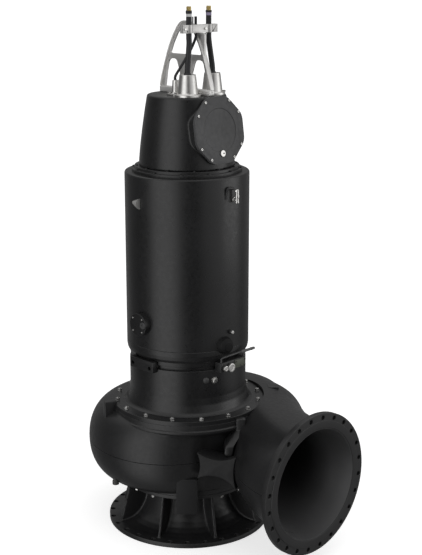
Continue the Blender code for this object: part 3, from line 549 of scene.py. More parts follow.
def suction_stand():
    bell = hoop([
        (EYE, STAND_TOP - 0.002), (0.468, STAND_TOP - 0.002), (0.468, 0.326), (0.352, 0.324),
        (0.338, 0.306), (0.336, 0.25), (0.343, 0.2), (0.362, 0.152), (0.39, 0.106), (0.424, 0.072),
        (0.462, 0.048), (0.505, 0.036), (0.54, 0.032), (0.562, 0.032), (0.562, 0.004),
        (0.452, 0.004), (0.42, 0.024), (0.386, 0.056), (0.354, 0.096), (0.326, 0.148),
        (0.309, 0.21),
    ], 160)
    rib = [(0.335, 0.15), (0.38, 0.09), (0.44, 0.04), (0.5, 0.012), (0.548, 0.012),
           (0.545, 0.04), (0.54, 0.056), (0.4735, 0.33), (0.325, 0.334)]
    ribs = [plate(rib, 0.021, around(22.5 + 45 * i) @ STANDING) for i in range(8)]
    body = worked(joined(bell, *ribs), voxel=0.0068, rounds=3)
    stand_in("stand_bell", body, CAST, "suction_stand", 50)
    foot_top = 0.034
    foot = hoop([(0.5, foot_top), (0.605, foot_top, 0.003), (0.605, 0.0, 0.002), (0.5, 0.0)], 224)
    foot = worked(foot, [drills(*BASE_DRILLING, foot_top)])
    piece("stand_foot", foot, FACED, "suction_stand")
    piece("stand_top_flange", hoop([
        (EYE, STAND_TOP, 0.004), (0.476, STAND_TOP, 0.003), (0.476, 0.322, 0.004), (0.38, 0.322),
        (EYE, 0.322),
    ]), FACED, "suction_stand")
    stand_in("suction_ring", hoop([
        (EYE, COVER_TOP - GAP), (0.472, COVER_TOP - GAP), (0.478, COVER_TOP - 0.006, 0.002),
        (0.478, STAND_TOP + 0.003, 0.001), (0.475, STAND_TOP + GAP), (EYE, STAND_TOP + GAP),
    ]), FACED, "suction_cover")
    nut = moved(hexagon(0.026, 0.018, washer=0.017, stud=0.006), spin(180, "X"))
    fastening("stand_bolts", ring_of(nut, 16, 0.452, 0.3225, -79, skip=(1, 2)), "suction_cover")


# Volute casing

def spiral_radius(angle):
    """The casing's outer radius at an angle clockwise from the discharge."""
    throat = 0.5
    grown = angle - 0.5
    radius = 0.499 + 0.16 * grown - 0.0133 * grown * grown
    closing = smooth(4.75, 5.9, angle)
    return max(throat, radius * (1 - closing) + throat * closing)


def section(angle, wall, steps):
    """The casing's section at an angle clockwise from the discharge, drawn in by the wall."""
    reach = spiral_radius(angle) - wall
    grown = min(angle, 4.75) - 0.5
    middle = 0.47 + 0.42 * max(0.0, spiral_radius(angle) - 0.56)
    rise = 0.272 + 0.008 * grown - wall
    if not wall:
        rise += 0.033 * smooth(3.7, 4.7, angle)
    fall = 0.258 + 0.003 * grown - wall
    half = reach - middle
    inside = IMPELLER_BAY - 0.03 - wall
    points = []
    for i in range(steps + 1):
        a = radians(-90 + 180 * i / steps)
        c, s = cos(a), sin(a)
        height, power = (rise, 0.96) if s > 0 else (fall, 0.86)
        points.append((middle + half * abs(c) ** power,
                       SEAM_Z + copysign(height * abs(s) ** power, s)))
    points.append((inside, min(SEAM_Z + rise, 0.895 - wall)))
    points.append((inside, SEAM_Z - fall))
    return points


def spiral(wall, count=120, steps=24):
    rings = []
    for turn in turns(count):
        angle = SPIRAL_START + turn
        rings.append([(r * cos(-angle), r * sin(-angle), z)
                      for r, z in section(angle, wall, steps)])
    return loft(rings, endless=True)


# Stations of the neck: its near and far side in plan, and its rise, its fall and its passage's rise
NECK = [
    ((0, 0.4), (0, 0.905), (0.338, 0.27, 0.298)),
    ((0.2, 0.21), (0.368, 0.856), (0.351, 0.275, 0.3)),
    ((0.44, -0.042), (0.561, 0.732), (0.352, 0.295, 0.305)),
    ((0.645, -0.184), (0.753, 0.609), (0.359, 0.335, 0.345)),
    ((0.835, -0.31), (0.988, 0.521), (0.372, 0.375, 0.372)),
    ((1.05, -0.388), (1.13, 0.45), (0.388, 0.402, 0.388)),
    ((FACE_X - 0.035, -NECK_END), (FACE_X - 0.035, NECK_END), (NECK_END, NECK_END, NECK_END)),
]


def neck(wall, beyond=0.0, steps=48, sides=72):
    """The neck's outside, or its passage where a wall is given, run on beyond its end."""
    rings = []
    for k in range(steps + 1):
        near, far, (rise, fall, passage_rise) = flowing(NECK, k / steps)
        if wall:
            rise = passage_rise
        across = (far - near).normalized()
        centre, half = (near + far) / 2, (far - near).length / 2 - wall
        ring = []
        for a in turns(sides):
            up = (rise if sin(a) > 0 else fall) - wall
            spot = centre + across * (half * cos(a))
            ring.append(Vector((spot.x, spot.y, SEAM_Z + up * sin(a))))
        rings.append(ring)
    if beyond:
        rings.append([point + Vector((beyond, 0, 0)) for point in rings[-1]])
    return loft(rings)


# The passage's lining: its near and far side in plan and its half height (with a 0, to make a pair)
LINING = [
    ((0.5, 0.00), (0.66, 0.47), (0.25, 0)), ((0.68, -0.14), (0.8, 0.4), (0.285, 0)),
    ((0.86, -0.27), (0.93, 0.35), (0.325, 0)), ((1.03, -0.335), (1.05, 0.343), (0.343, 0)),
    ((1.16, -0.369), (1.16, 0.369), (0.369, 0)),
    ((1.2672, -0.3985), (1.2672, 0.3985), (0.3985, 0)),
]


def bore_lining():
    """The skin inside the neck and the bore, one smooth surface up to the flange's face; its pale
    paint is painted light inside the bore.
    """
    thickness, steps, sides = 0.0025, 60, 96
    skins = []
    for inset in (thickness, 0.0):
        rings = []
        for k in range(steps + 1):
            near, far, level = flowing(LINING, k / steps)
            height = level.x - inset
            middle, half = (near + far) / 2, (far - near) / 2 * (1 - inset / 0.39)
            rings.append([Vector((*(middle + half * cos(a)), SEAM_Z + height * sin(a)))
                          for a in turns(sides)])
        skins.append(rings)
    return loft(skins[0] + skins[1][::-1], endless=True)


def seam_cut(spots, ways):
    """A fine groove along points at the casting's parting line, with the way outward at each."""
    return [[Vector((*(spot + out * reach), SEAM_Z + rise))
             for reach, rise in ((-0.007, 0.0), (0.008, 0.0055), (0.008, -0.0055))]
            for spot, out in zip(spots, ways)]


def seam_cuts():
    """The groove round the spiral and those along both sides of the neck."""
    angles = [SPIRAL_START + turn for turn in turns(160)]
    ways = [Vector((cos(-a), sin(-a))) for a in angles]
    ring = seam_cut([way * spiral_radius(a) for way, a in zip(ways, angles)], ways)
    near = [flowing(NECK, 0.3 + 0.72 * k / 40)[0] for k in range(40)]
    far = [flowing(NECK, 0.02 + 0.96 * k / 50)[1] for k in range(50)]
    cuts = [loft(ring, endless=True)]
    for spots, sign in ((near, 1), (far, -1)):
        runs = [direction(spots, i) for i in range(len(spots))]
        cuts.append(loft(seam_cut(spots, [Vector((run.y, -run.x)) * sign for run in runs])))
    return cuts


def bowed(start, end, depth, steps):
    """An edge that bows to its left by a depth, without its last point."""
    a, b = Vector(start), Vector(end)
    side = Vector((b.y - a.y, a.x - b.x)).normalized()
    return [tuple(a.lerp(b, i / steps) + side * depth * 4 * (i / steps) * (1 - i / steps))
            for i in range(steps)]


def crotch_rib():
    """The rib that runs down between the spiral and the neck."""
    across = Vector((cos(radians(46)), sin(radians(46)), 0))
    inward = Vector((-across.y, across.x, 0))
    # Radius, azimuth, height and half width
    stations = [(0.596, -4.6, 0.938, 0.034), (0.598, -4.8, 0.853, 0.034),
                (0.63, -11.9, 0.821, 0.03), (0.662, -17.5, 0.781, 0.031),
                (0.668, -18.6, 0.73, 0.031), (0.668, -18.4, 0.706, 0.018)]
    rings = []
    for radius, azimuth, height, half in stations:
        spot = around(azimuth, radius, height).translation
        back = inward * (0.06 + (radius - 0.598) * 1.6)
        left, right = spot - across * half, spot + across * half
        rings.append([left, right, right + back, left + back])
    return worked(loft(rings), bevel=0.009, segments=3)


def volute_casing():
    collar_inside = [(0.45, 0.921), (0.56, 0.921), (0.56, 0.88), (0.552, 0.856), (0.45, 0.82)]
    raw = joined(spiral(0.0), neck(0.0), lathe(collar_inside, 96, closed=True))
    cuts = seam_cuts() + [
        spiral(WALL, 84, 14), neck(WALL, 0.1, 30, 48),
        turned([(BORE, 0.05), (BORE, -0.03), (BORE - 0.025, -0.095)], 96, FLANGE_FRAME),
        drum(IMPELLER_BAY, 0.2, 1.2, 96),
        drum(COLLAR_SEAT, COLLAR_TOP, 1.1, 96), drum(COVER_SEAT, 0.3, COVER_TOP, 96),
    ]
    body = worked(raw, cuts, solver="MANIFOLD", voxel=0.0098, rounds=4)
    stand_in("casing_body", body, CAST, CASING, 46)

    flange = hoop([
        (BORE, 0.0, 0.005), (RAISED_RADIUS, 0.0, 0.001), (RAISED_RADIUS + 0.002, -RAISED, 0.001),
        (FLANGE_RADIUS, -RAISED, 0.003), (FLANGE_RADIUS, -FLANGE_THICK, 0.004),
        (NECK_END + 0.04, -FLANGE_THICK, 0.022), (NECK_END + 0.006, -FLANGE_THICK - 0.075),
        (0.388, -FLANGE_THICK - 0.075), (0.389, -0.095), (0.393, -0.06), (0.398, -0.03),
    ], 224)
    holes = drills(*FLANGE_DRILLING, FLANGE_THICK - RAISED, at(z=-FLANGE_THICK))
    flange = worked(flange, [holes])
    flange.transform(FLANGE_FRAME)
    piece("discharge_flange", flange, FACED, CASING)

    piece("casing_collar", hoop([
        (0.45, COLLAR_TOP), (0.568, COLLAR_TOP, 0.002), (0.568, 0.888, 0.002),
        (0.579, 0.882, 0.002), (0.579, 0.866, 0.002), (0.566, 0.86, 0.002), (0.556, 0.848),
        (0.45, 0.82),
    ]), FACED, CASING)
    piece("casing_foot_ring", hoop([
        (0.44, 0.462), (0.468, 0.462, 0.01), (0.486, 0.432, 0.004), (0.486, COVER_TOP, 0.002),
        (0.44, COVER_TOP),
    ]), FACED, CASING)

    corners = [(0.222, 0.737), (0.512, 0.732), (0.512, 0.482), (0.222, 0.54)]
    bows = ((0.04, 14), (0.02, 12), (0.058, 14), (0.022, 10))
    star = [point for i, bow in enumerate(bows)
            for point in bowed(corners[i], corners[(i + 1) % 4], *bow)]
    web = worked(plate(star, 0.16, around(-60, 0.472) @ UPRIGHT), bevel=0.005, segments=3)
    piece("crotch_web", web, MATTE, CASING)
    piece("crotch_rib", crotch_rib(), FACED, CASING)
    piece("support_leg", bar((0.06, 0.156, 0.27), around(-45, 0.518, 0.375), 0.006), MATTE, CASING)
    piece("box_lug", bar((0.094, 0.05, 0.16), around(-117.3, 0.6, 0.9), 0.008), FACED, CASING)
    spot = at(*around(56.5, 0.66, 0.955).translation)
    piece("small_lug", bar((0.085, 0.062, 0.06), spot @ spin(46, "Z"), 0.006), FACED, CASING)
    piece("bore_lining", bore_lining(), BORE_PAINTED_LIGHT, CASING, 60)
    piece("drain_plug", turned([
        (0.02, 0.44), (0.02, 0.412), (0.0245, 0.408, 0.002), (0.0245, 0.38, 0.003),
    ], 32, at(*around(-103.5, 0.622).translation)), IRON, CASING)


# Bearing housing and motor

def bearing_and_motor():
    hub = IMPELLER_BAY - 0.003
    stand_in("housing_body", turned([
        (HOUSING_RADIUS, HOUSING_TOP, 0.004), (HOUSING_RADIUS, 1.08, 0.12),
        (HOUSING_RADIUS + 0.006, 1.03, 0.08), (0.457, 0.972, 0.05), (0.478, BOLT_FLANGE_TOP, 0.012),
        (0.566, BOLT_FLANGE_TOP, 0.003), (0.566, COLLAR_TOP + GAP, 0.001), (hub, COLLAR_TOP + GAP),
        (hub, 0.8, 0.004), (0.11, 0.79), (0.07, 0.7703),
    ], FINE, steps=8), SMOOTH, "bearing_housing")
    bolt = hexagon(0.027, 0.015, washer=0.0165, stud=0.004)
    bolts = ring_of(bolt, 16, 0.531, BOLT_FLANGE_TOP, 11.25)
    fastening("casing_bolts", bolts, "bearing_housing", DULL_SHADED_STEEL)
    band = drum(0.408, HOUSING_TOP + GAP, MOTOR_BOTTOM - GAP, FINE)
    stand_in("seal_band", band, SMOOTH, "seal_ring")
    stand_in("motor_base_ring", turned([
        (JACKET_RADIUS - 0.002, TAPER_TOP - GAP, 0.001), (JACKET_RADIUS, TAPER_TOP - 0.003),
        (JACKET_RADIUS, 1.398, 0.012), (0.444, 1.37, 0.01), (0.434, 1.351, 0.003),
        (0.426, 1.348, 0.001), (0.426, MOTOR_BOTTOM, 0.003),
    ], FINE), SMOOTH, "motor_base")
    jacket = drum(JACKET_RADIUS, TAPER_TOP, JACKET_TOP, FINE, top=0.016, foot=0.003, steps=6)
    stand_in("jacket_shell", jacket, SMOOTH, "motor_jacket")
    ledge = CAP_TOP - 0.019
    stand_in("cap_rings", turned([
        (0.376, CAP_TOP, 0.004), (0.376, ledge, 0.002), (0.396, ledge, 0.004),
        (0.396, JACKET_TOP + GAP),
    ], FINE), SMOOTH, "motor_cap")
    screws = joined(ring_of(socket_screw(0.009, 0.007), 12, 0.3865, ledge, 10),
                    ring_of(socket_screw(0.008, 0.006), 12, 0.36, CAP_TOP, 24))
    fastening("cap_screws", screws, "motor_cap", SMOOTH)


def octagon(flat, corner, steps=8):
    """An octagon with round corners, as wide as twice the flat."""
    points = []
    reach = (flat - corner) / cos(radians(22.5))
    for k in range(8):
        middle = 22.5 + 45 * k
        for i in range(steps + 1):
            a = radians(middle - 22.5 + 45 * i / steps)
            points.append((reach * cos(radians(middle)) + corner * cos(a),
                           reach * sin(radians(middle)) + corner * sin(a)))
    return points


def cone_body():
    """The terminal housing: a tapering drum with the cover's neck at its front."""
    edge = CONE_TOP - 0.012
    wall = [(0.276, CONE_TOP, 0.012)]
    for i in range(21):
        z = edge - (edge - CAP_TOP - GAP) * i / 20
        rise = max(0.0, (z - CAP_TOP) / (CONE_TOP - CAP_TOP))
        wall.append((CONE_FOOT_RADIUS + (CONE_TOP_RADIUS - CONE_FOOT_RADIUS) * rise ** 1.35, z))
    front = -COVER_THICK - GAP
    shape = plate(octagon(COVER_FLAT - 0.025, 0.095), 0.22,
                  COVER_FRAME @ at(front + 0.01 - 0.11) @ UPRIGHT)
    mill = block((0.2, 0.9, 0.9), COVER_FRAME @ at(front + 0.1, 0, 0.45 - COVER_FLAT - 0.006))
    seat = block((2, 2, 0.4), at(z=CAP_TOP + GAP - 0.2))
    return worked(joined(turned(wall, 160), shape), [mill, seat], solver="MANIFOLD", voxel=0.0052,
                  rounds=3)


def terminal_housing():
    stand_in("cone_body", cone_body(), SMOOTH, "terminal_housing", 46)
    rim = plate(octagon(COVER_FLAT, 0.1), COVER_THICK,
                COVER_FRAME @ at(-COVER_THICK / 2) @ UPRIGHT)
    spot = COVER_FRAME @ OUTWARD
    left = [(-0.115, 0.198), (-0.195, 0.113), (-0.195, -0.114), (-0.111, -0.196)]
    screw_spots = [spot @ at(-z, y) for y, z in left + [(-y, z) for y, z in left]]
    dish = turned([(0.156, 0.02), (0.156, 0.0004), (0.15, -0.0036)], 96, spot)
    holes = joined(*(drum(COVER_HOLE_RADIUS, -COVER_DISH_DEPTH, 0.02, 24, place)
                     for place in screw_spots))
    cover = worked(rim, [dish, holes], bevel=0.003)
    stand_in("cover_plate", cover, COVER_PAINT, "terminal_cover")
    screws = copies(socket_screw(0.0095, 0.009),
                    (place @ at(z=-COVER_DISH_DEPTH) for place in screw_spots))
    fastening("cover_screws", screws, "terminal_cover")
    plug = drum(0.023, GAP, 0.008, 40, top=0.002)
    plug = worked(plug, [block((0.01, 0.026, 0.014), at(z=0.008))])
    plug.transform(spot @ at(0.161))
    stand_in("slotted_plug", plug, BOLT_STEEL, "cover_plug")


# Glands, cables, clamp and bail

def gland(name, x, y, top_radius, bottom_radius, height, flange_radius, flange_height):
    foot = CONE_TOP + GAP
    top, shoulder = foot + height, foot + flange_height
    stand_in(name + "_body", turned([
        (top_radius - 0.012, top - 0.004), (top_radius - 0.01, top, 0.001),
        (top_radius, top, 0.003), (bottom_radius, shoulder + 0.006, 0.004),
        (bottom_radius + 0.006, shoulder), (flange_radius, shoulder, 0.003), (flange_radius, foot),
    ], 72, at(x, y)), STEEL, name)


def glands():
    screw = hexagon(0.019, 0.011, washer=0.0125)
    for name, side in (("power_gland_left", -1), ("power_gland_right", 1)):
        gland(name, GLAND_X, side * GLAND_Y, 0.057, 0.073, GLAND_HEIGHT, 0.092, GLAND_FLANGE)
        spot = at(GLAND_X, side * GLAND_Y, CONE_TOP + GAP + GLAND_FLANGE)
        fastening(name + "_screws", ring_of(screw, 4, 0.0835, 0.0, 45, matrix=spot), name)
    x, y = CONTROL_FOOT
    gland("control_gland", x, y, 0.0215, 0.026, CONTROL_HEIGHT, 0.0285, 0.012)
    ear_x, ear_y = x - 0.053, y - 0.01
    oval = [(ear_x + 0.02 * cos(a), ear_y + 0.02 * sin(a))
            for a in map(radians, range(60, 300, 20))]
    oval += [(x, y - 0.03), (x, y + 0.03)]
    foot = worked(plate(oval, 0.006, at(z=CONE_TOP + 0.0033)), bevel=0.001)
    screw = moved(screw, at(ear_x, ear_y, CONE_TOP + 0.006))
    fastening("control_gland_foot", joined(foot, screw), "control_gland")


def cores(y, foot):
    """Bare strands from a cable's end up to their tips, eight of them twisted round a ninth."""
    strands = []
    for k in range(9):
        reach, radius = (0.0, 0.0085) if k == 8 else (0.0118, 0.0052)
        ways = [radians(45 * k + 70 * i / 6) for i in range(7)]
        line = [(CLAMP_X + reach * cos(a), y + reach * sin(a),
                 foot + (CORES_TOP - foot - 0.002) * i / 6) for i, a in enumerate(ways)]
        strands.append(tube(line, radius, 10))
    return joined(*strands)


def power_cable(side_name, y, clamp_y, band_top, ring_top, pale):
    """A cable stub from its gland through the clamp, with a band, a ring and its cores."""
    node = "power_cable_" + side_name
    foot = CONE_TOP + GLAND_HEIGHT - 0.004
    clamp_spot = at(CLAMP_X, clamp_y)
    route = smooth_route([
        (GLAND_X, y, foot), (GLAND_X, y, foot + 0.05),
        (CLAMP_X + 0.004, clamp_y * 1.03, CLAMP_Z - 0.11),
        *((CLAMP_X, clamp_y, CLAMP_Z + rise) for rise in (-0.06, -0.03, 0.03)),
        (CLAMP_X, clamp_y, CABLE_END - 0.002),
    ], 0.012)
    stand_in(node + "_sheath", tube(route, CABLE_RADIUS, 28), SHEATH, node)
    sleeves = (("band", CABLE_RADIUS + 0.0006, band_top - 0.02, band_top, pale),
               ("ring", CABLE_RADIUS + 0.0022, band_top, ring_top, SHEATH))
    for kind, radius, low, high, material in sleeves:
        sleeve = drum(radius, low, high, 40, clamp_spot, 0.0012, 0.0012)
        piece(f"cable_{kind}_{side_name}", sleeve, material, node)
    stand_in(f"cable_cores_{side_name}_strands", cores(clamp_y, ring_top - 0.002), BRASS,
             "cable_cores_" + side_name)
    piece("gland_seal_" + side_name, turned([
        (CABLE_RADIUS + 0.002, foot + 0.016, 0.002), (CABLE_RADIUS + 0.01, foot, 0.002),
    ], 40, at(GLAND_X, y)), SHEATH, "power_gland_" + side_name)


def cables():
    power_cable("left", -GLAND_Y, -CABLE_SPREAD, 3.772, 3.793, BAND_WHITE)
    power_cable("right", GLAND_Y, CABLE_SPREAD, 3.7765, 3.7905, BAND_MAUVE)
    foot = CONE_TOP + CONTROL_HEIGHT - 0.002
    x, y = CONTROL_SPOT
    route = smooth_route([
        (*CONTROL_FOOT, foot), (*CONTROL_FOOT, foot + 0.03), (0.048, -0.09, 3.42),
        (0.098, -0.05, 3.53), (x, y - 0.001, CLAMP_Z - 0.06), (x, y, CLAMP_Z - 0.03),
        (x, y, CLAMP_Z + 0.03), (x, y, 3.752),
    ], 0.01)
    stand_in("control_cable_sheath", tube(route, CONTROL_RADIUS, 20), SHEATH, "control_cable")
    line = [(*WIRE_SPOT, CLAMP_Z - 0.02 + 0.102 * i / 6) for i in range(7)]
    piece("signal_wire", tube(line, 0.0055, 14), WIRE_GREY, "control_cable")


def cable_clamp():
    play = 0.0006
    bosses, cuts = [], []
    for side in (-1, 1):
        spot = at(CLAMP_X, side * CABLE_SPREAD, CLAMP_Z - CLAMP_HEIGHT / 2)
        bosses.append(drum(CABLE_RADIUS + 0.009, 0, CLAMP_HEIGHT, 48, spot))
        cuts.append(drum(CABLE_RADIUS + play, -0.1, 0.2, 48, spot))
    cuts.append(drum(CONTROL_RADIUS + play, 3, 4, 32, at(*CONTROL_SPOT)))
    cuts.append(drum(0.006, 3, 4, 24, at(*WIRE_SPOT)))
    cuts.append(block((0.0016, 0.4, 0.2), at(CLAMP_X, 0, CLAMP_Z)))
    body = block((0.034, 0.33, CLAMP_HEIGHT), at(CLAMP_X, 0.002, CLAMP_Z))
    clamp = worked(body, cuts, bosses, bevel=0.002)
    stand_in("clamp_halves", clamp, PLATE_STEEL, "cable_clamp")
    screws = copies(hexagon(0.016, 0.008, washer=0.0105),
                    (at(CLAMP_X + 0.017, y, CLAMP_Z) @ OUTWARD for y in (-0.15, 0.045)))
    fastening("clamp_screws", screws, "cable_clamp")


# The bail's outer edge at the right, and its windows: the upper one and the right one
BAIL_EDGE = [(0.262, 3.256), (0.248, 3.314), (0.228, 3.375), (0.202, 3.447), (0.175, 3.5175),
             (0.142, 3.584), (0.102, 3.65), (0.0685, 3.693), (0.029, 3.718)]
BAIL_UPPER = [(0.158, 3.489), (0.122, 3.566), (0.082, 3.632), (0.052, 3.668), (0.024, 3.688)]
BAIL_SIDE = [(0.213, CONE_TOP + GAP + 0.03), (0.192, 3.37), (0.176, 3.43), (0.164, 3.446),
             (0.146, 3.452), (0.112, 3.452), (0.097, 3.446), (0.088, 3.432), (0.062, 3.36),
             (0.052, CONE_TOP + GAP + 0.03)]


def mirrored(points):
    """The points on the other side of the middle, in the opposite order."""
    return [(-x, z) for x, z in reversed(points)]


def beside(points, width):
    """The points moved sideways, to the right of the way that they run."""
    line = [Vector(p) for p in points]
    runs = [direction(line, i) for i in range(len(line))]
    return [tuple(spot + Vector((run.y, -run.x)) * width) for spot, run in zip(line, runs)]


def lifting_bail():
    base = CONE_TOP + GAP
    low = base + 0.02
    shelf = CLAMP_Z - CLAMP_HEIGHT / 2 - GAP
    edge = mirrored(BAIL_EDGE)[::-1] + BAIL_EDGE[::-1]
    edge = [(x, z) for x, z, _ in smooth_route([(x, z, 0) for x, z in edge], 0.02)]
    inside = beside(edge, 0.0045)
    crown = next(i for i, (x, z) in enumerate(inside) if x > 0.098)
    after = next(i for i, (x, z) in enumerate(inside) if x > 0 and z < 3.5)
    bracket = [(0.104, shelf - 0.004), (0.186, shelf - 0.004), (0.186, 3.474)]
    outline = [(-0.2575, low)] + inside[:crown] + bracket + inside[after:] + [(0.2575, low)]
    windows = [plate([tuple(p) for p in rounded([(x, z, 0.012) for x, z in shape], True)],
                     0.1, STANDING)
               for shape in (BAIL_UPPER + mirrored(BAIL_UPPER), BAIL_SIDE, mirrored(BAIL_SIDE))]
    web = worked(plate(outline, 0.013, STANDING), windows, bevel=0.0025)
    rim = worked(plate(edge + beside(edge, 0.009)[::-1], 0.036, STANDING), bevel=0.003)
    strip = bar((0.008, 0.02, shelf - 3.47), at(0.186, 0, (shelf + 3.47) / 2), 0.002)
    ledge = bar((0.08, 0.03, 0.008), at(0.15, 0, shelf - 0.004), 0.002)
    foot = bar((0.512, 0.05, 0.042), at(z=base + 0.021), 0.006)
    stand_in("bail_web", joined(web, strip, ledge), PLATE_STEEL, "lifting_bail")
    piece("bail_rim", joined(rim, foot), RIM_STEEL_PAINTED_HIGHLIGHT, "lifting_bail")


# Fittings on the jacket and the bearing housing

def seated(mesh, radius, bevel=0.0):
    """A fitting with its back hollowed to a round wall."""
    return worked(mesh, [drum(radius + GAP, 1.0, 2.8, FINE)], bevel=bevel)


def jacket_fittings():
    spot = outside(-90, JACKET_RADIUS - 0.012, 1.612)
    cover = seated(drum(0.083, 0.0, 0.058, 96, spot, 0.004), JACKET_RADIUS)
    stand_in("jacket_cover", cover, SMOOTH, "inspection_cover")
    screws = ring_of(socket_screw(0.0062, 0.005), 4, 0.0655, 0.0582, 45, matrix=spot)
    fastening("jacket_cover_screws", screws, "inspection_cover")
    piece("jacket_cover_hub", turned([
        (0.009, 0.06), (0.012, 0.067, 0.002), (0.023, 0.067, 0.003), (0.026, 0.058), (0.026, 0.05),
    ], 48, spot @ at(-0.004, 0.056)), GREY_BAR, "inspection_cover")

    nose = lathe([
        (0, 0.066), (0.034, 0.064, 0.016), (0.056, 0.042, 0.016), (0.066, 0.006, 0.004),
        (0.066, 0.0), (0, 0.0),
    ], 64, outside(-8, JACKET_RADIUS - 0.012, 1.464), steps=6)
    # The nose is painted with shade: near black all round
    stand_in("jacket_nose", seated(nose, JACKET_RADIUS), SHADED_NOSE_PAINT, "jacket_boss")

    length = 0.08
    lug = turned([
        (0.012, length, 0.008), (0.0385, 0.0),
    ], 64, around(-96, JACKET_RADIUS - 0.0027, 2.48) @ at(0, length / 2) @ STANDING, steps=6)
    stand_in("half_cone_lug", seated(lug, JACKET_RADIUS), PLATE_STEEL, "cone_lug")

    spot = outside(-1.6, JACKET_RADIUS - 0.004, 1.556)
    collar = seated(drum(0.0155, 0.0, 0.02, 40, spot, 0.002), JACKET_RADIUS)
    stand_in("jacket_plug_collar", collar, SMOOTH, "jacket_plug")
    piece("jacket_plug_tip", turned([
        (0.0105, 0.036, 0.0015), (0.0125, 0.033, 0.001), (0.0125, 0.018),
    ], 40, spot), BOLT_STEEL, "jacket_plug")


def vent():
    bends = [(1.0, 2.592), (-2.0, 2.594), (-4.8, 2.597), (-6.2, 2.592), (-6.8, 2.576),
             (-6.9, 2.55), (-6.9, 2.518)]
    route = smooth_route([around(azimuth, JACKET_RADIUS + 0.01, z).translation
                          for azimuth, z in bends], 0.006)
    pipe = tube(route, lambda t: 0.01 - 0.006 * smooth(0.3, 0.9, t), 20)
    piece("vent_pipe", pipe, SMOOTH, "motor_jacket")
    stem = turned([
        (0.012, 0.034, 0.002), (0.012, 0.016, 0.002), (0.017, 0.015, 0.002), (0.017, 0),
    ], 40, outside(2, JACKET_RADIUS - 0.006, 2.512))
    azimuth, reach = 2.2, JACKET_RADIUS + 0.034
    riser = turned([
        (0.009, 0.056, 0.002), (0.012, 0.048, 0.002), (0.012, 0.018, 0.002), (0.015, 0.016, 0.001),
        (0.015, -0.004, 0.001), (0.012, -0.006, 0.002), (0.012, -0.03, 0.003), (0.015, -0.032),
        (0.015, -0.042, 0.002),
    ], 40, around(azimuth, reach, 2.532))
    lever = tube([around(azimuth, reach, 2.574) @ Vector((0.002 * k, -0.005 * k, 0.001 * k))
                  for k in range(5)], 0.006, 12)
    stand_in("vent_elbow", joined(stem, riser, lever), BOLT_STEEL, "vent_fitting")


def pad(azimuth, front, half_width, low, high):
    """A machined pad on the bearing housing."""
    depth = front - HOUSING_RADIUS + 0.06
    spot = around(azimuth, front - depth / 2, (low + high) / 2)
    return seated(block((depth, 2 * half_width, high - low), spot), HOUSING_RADIUS, 0.004)


def valve_pads():
    holes = [turned([
        (0.019, 0.1), (0.015, 0.0575), (0.015, 0.0),
    ], 32, outside(-91, 0.4, height, aside))
             for aside, height in ((-0.09, 1.302), (0.088, 1.296))]
    flank = worked(pad(-91, 0.46, 0.124, PAD_LOW, PAD_HIGH), holes)
    stand_in("flank_pad", flank, FACED, "flank_plate")
    stand_in("valve_pad", pad(0, VALVE_FACE, 0.125, 1.276, PAD_HIGH), FACED, "valve_block")
    thickness = 0.006
    back = block((thickness, 0.108, 0.058), at(VALVE_FACE) @ at(thickness / 2, 0.066, 1.31))
    piece("valve_plate", worked(back, bevel=0.0015), OLIVE, "valve_block")
    spots = [(0.074, 1.292), (0.114, 1.329), (0.114, 1.29), (0.022, 1.329), (-0.089, 1.336),
             (-0.112, 1.336)]
    screws = copies(socket_screw(0.0065, 0.004),
                    (at(VALVE_FACE + thickness * (y > 0), y, z) @ OUTWARD for y, z in spots))
    fastening("valve_plate_screws", screws, "valve_block", IRON)


def valve_handle():
    x = VALVE_FACE - 0.007
    route = smooth_route([(x, -0.115, PAD_HIGH), (x, -0.115, 1.366), (x, -0.104, 1.38),
                          (x, 0.0, 1.383), (x, 0.098, 1.386)], 0.008)
    post = turned([(0.006, 1.392, 0.002), (0.008, 1.386), (0.008, PAD_HIGH)], 24, at(x, 0.112))
    stand_in("handle_bar", joined(tube(route, 0.0062, 16), post), GREY_BAR, "valve_bar")
    piece("handle_grip", turned([
        (0.0095, 0.0, 0.002), (0.0115, 0.012), (0.0115, 0.045, 0.001), (0.0105, 0.05),
        (0.01, 0.1, 0.002), (0.0115, 0.104, 0.001), (0.009, 0.14, 0.003),
    ], 32, at(x, 0.088, 1.385) @ spin(-90, "X")), GRIP_PAINT, "valve_bar")


def valve_caps():
    for name, aside, height, radius in (("valve_cap_left", -0.092, 1.304, 0.021),
                                        ("valve_cap_right", -0.035, 1.299, 0.033)):
        neck_radius = radius - 0.006
        cap = turned([
            (radius * 0.55, 0.022), (radius * 0.6, 0.025, 0.001), (radius, 0.024, 0.003),
            (radius, 0.006, 0.001), (neck_radius, 0.005), (neck_radius, GAP),
        ], 48, outside(0, VALVE_FACE, height, aside))
        stand_in(name + "_turned", cap, BOLT_STEEL, name)


def oil_plugs():
    plug = joined(drum(0.024, 0, 0.013, 32, top=0.001), moved(hexagon(0.03, 0.015), at(z=0.012)))
    plug.transform(outside(-18.2, HOUSING_RADIUS - 0.001, 1.211))
    stand_in("oil_hex_plug", plug, BOLT_STEEL, "oil_plug", 25)
    blank = turned([
        (0.012, 0.016, 0.002), (0.015, 0.012, 0.002), (0.022, 0.01, 0.002), (0.022, 0),
    ], 32, outside(-26.5, HOUSING_RADIUS - 0.002, 1.216))
    piece("oil_blank", seated(blank, HOUSING_RADIUS - 0.001), GREY_BAR, "bearing_housing")


# Floor and light

CAMERA_AZIMUTH = -43.8
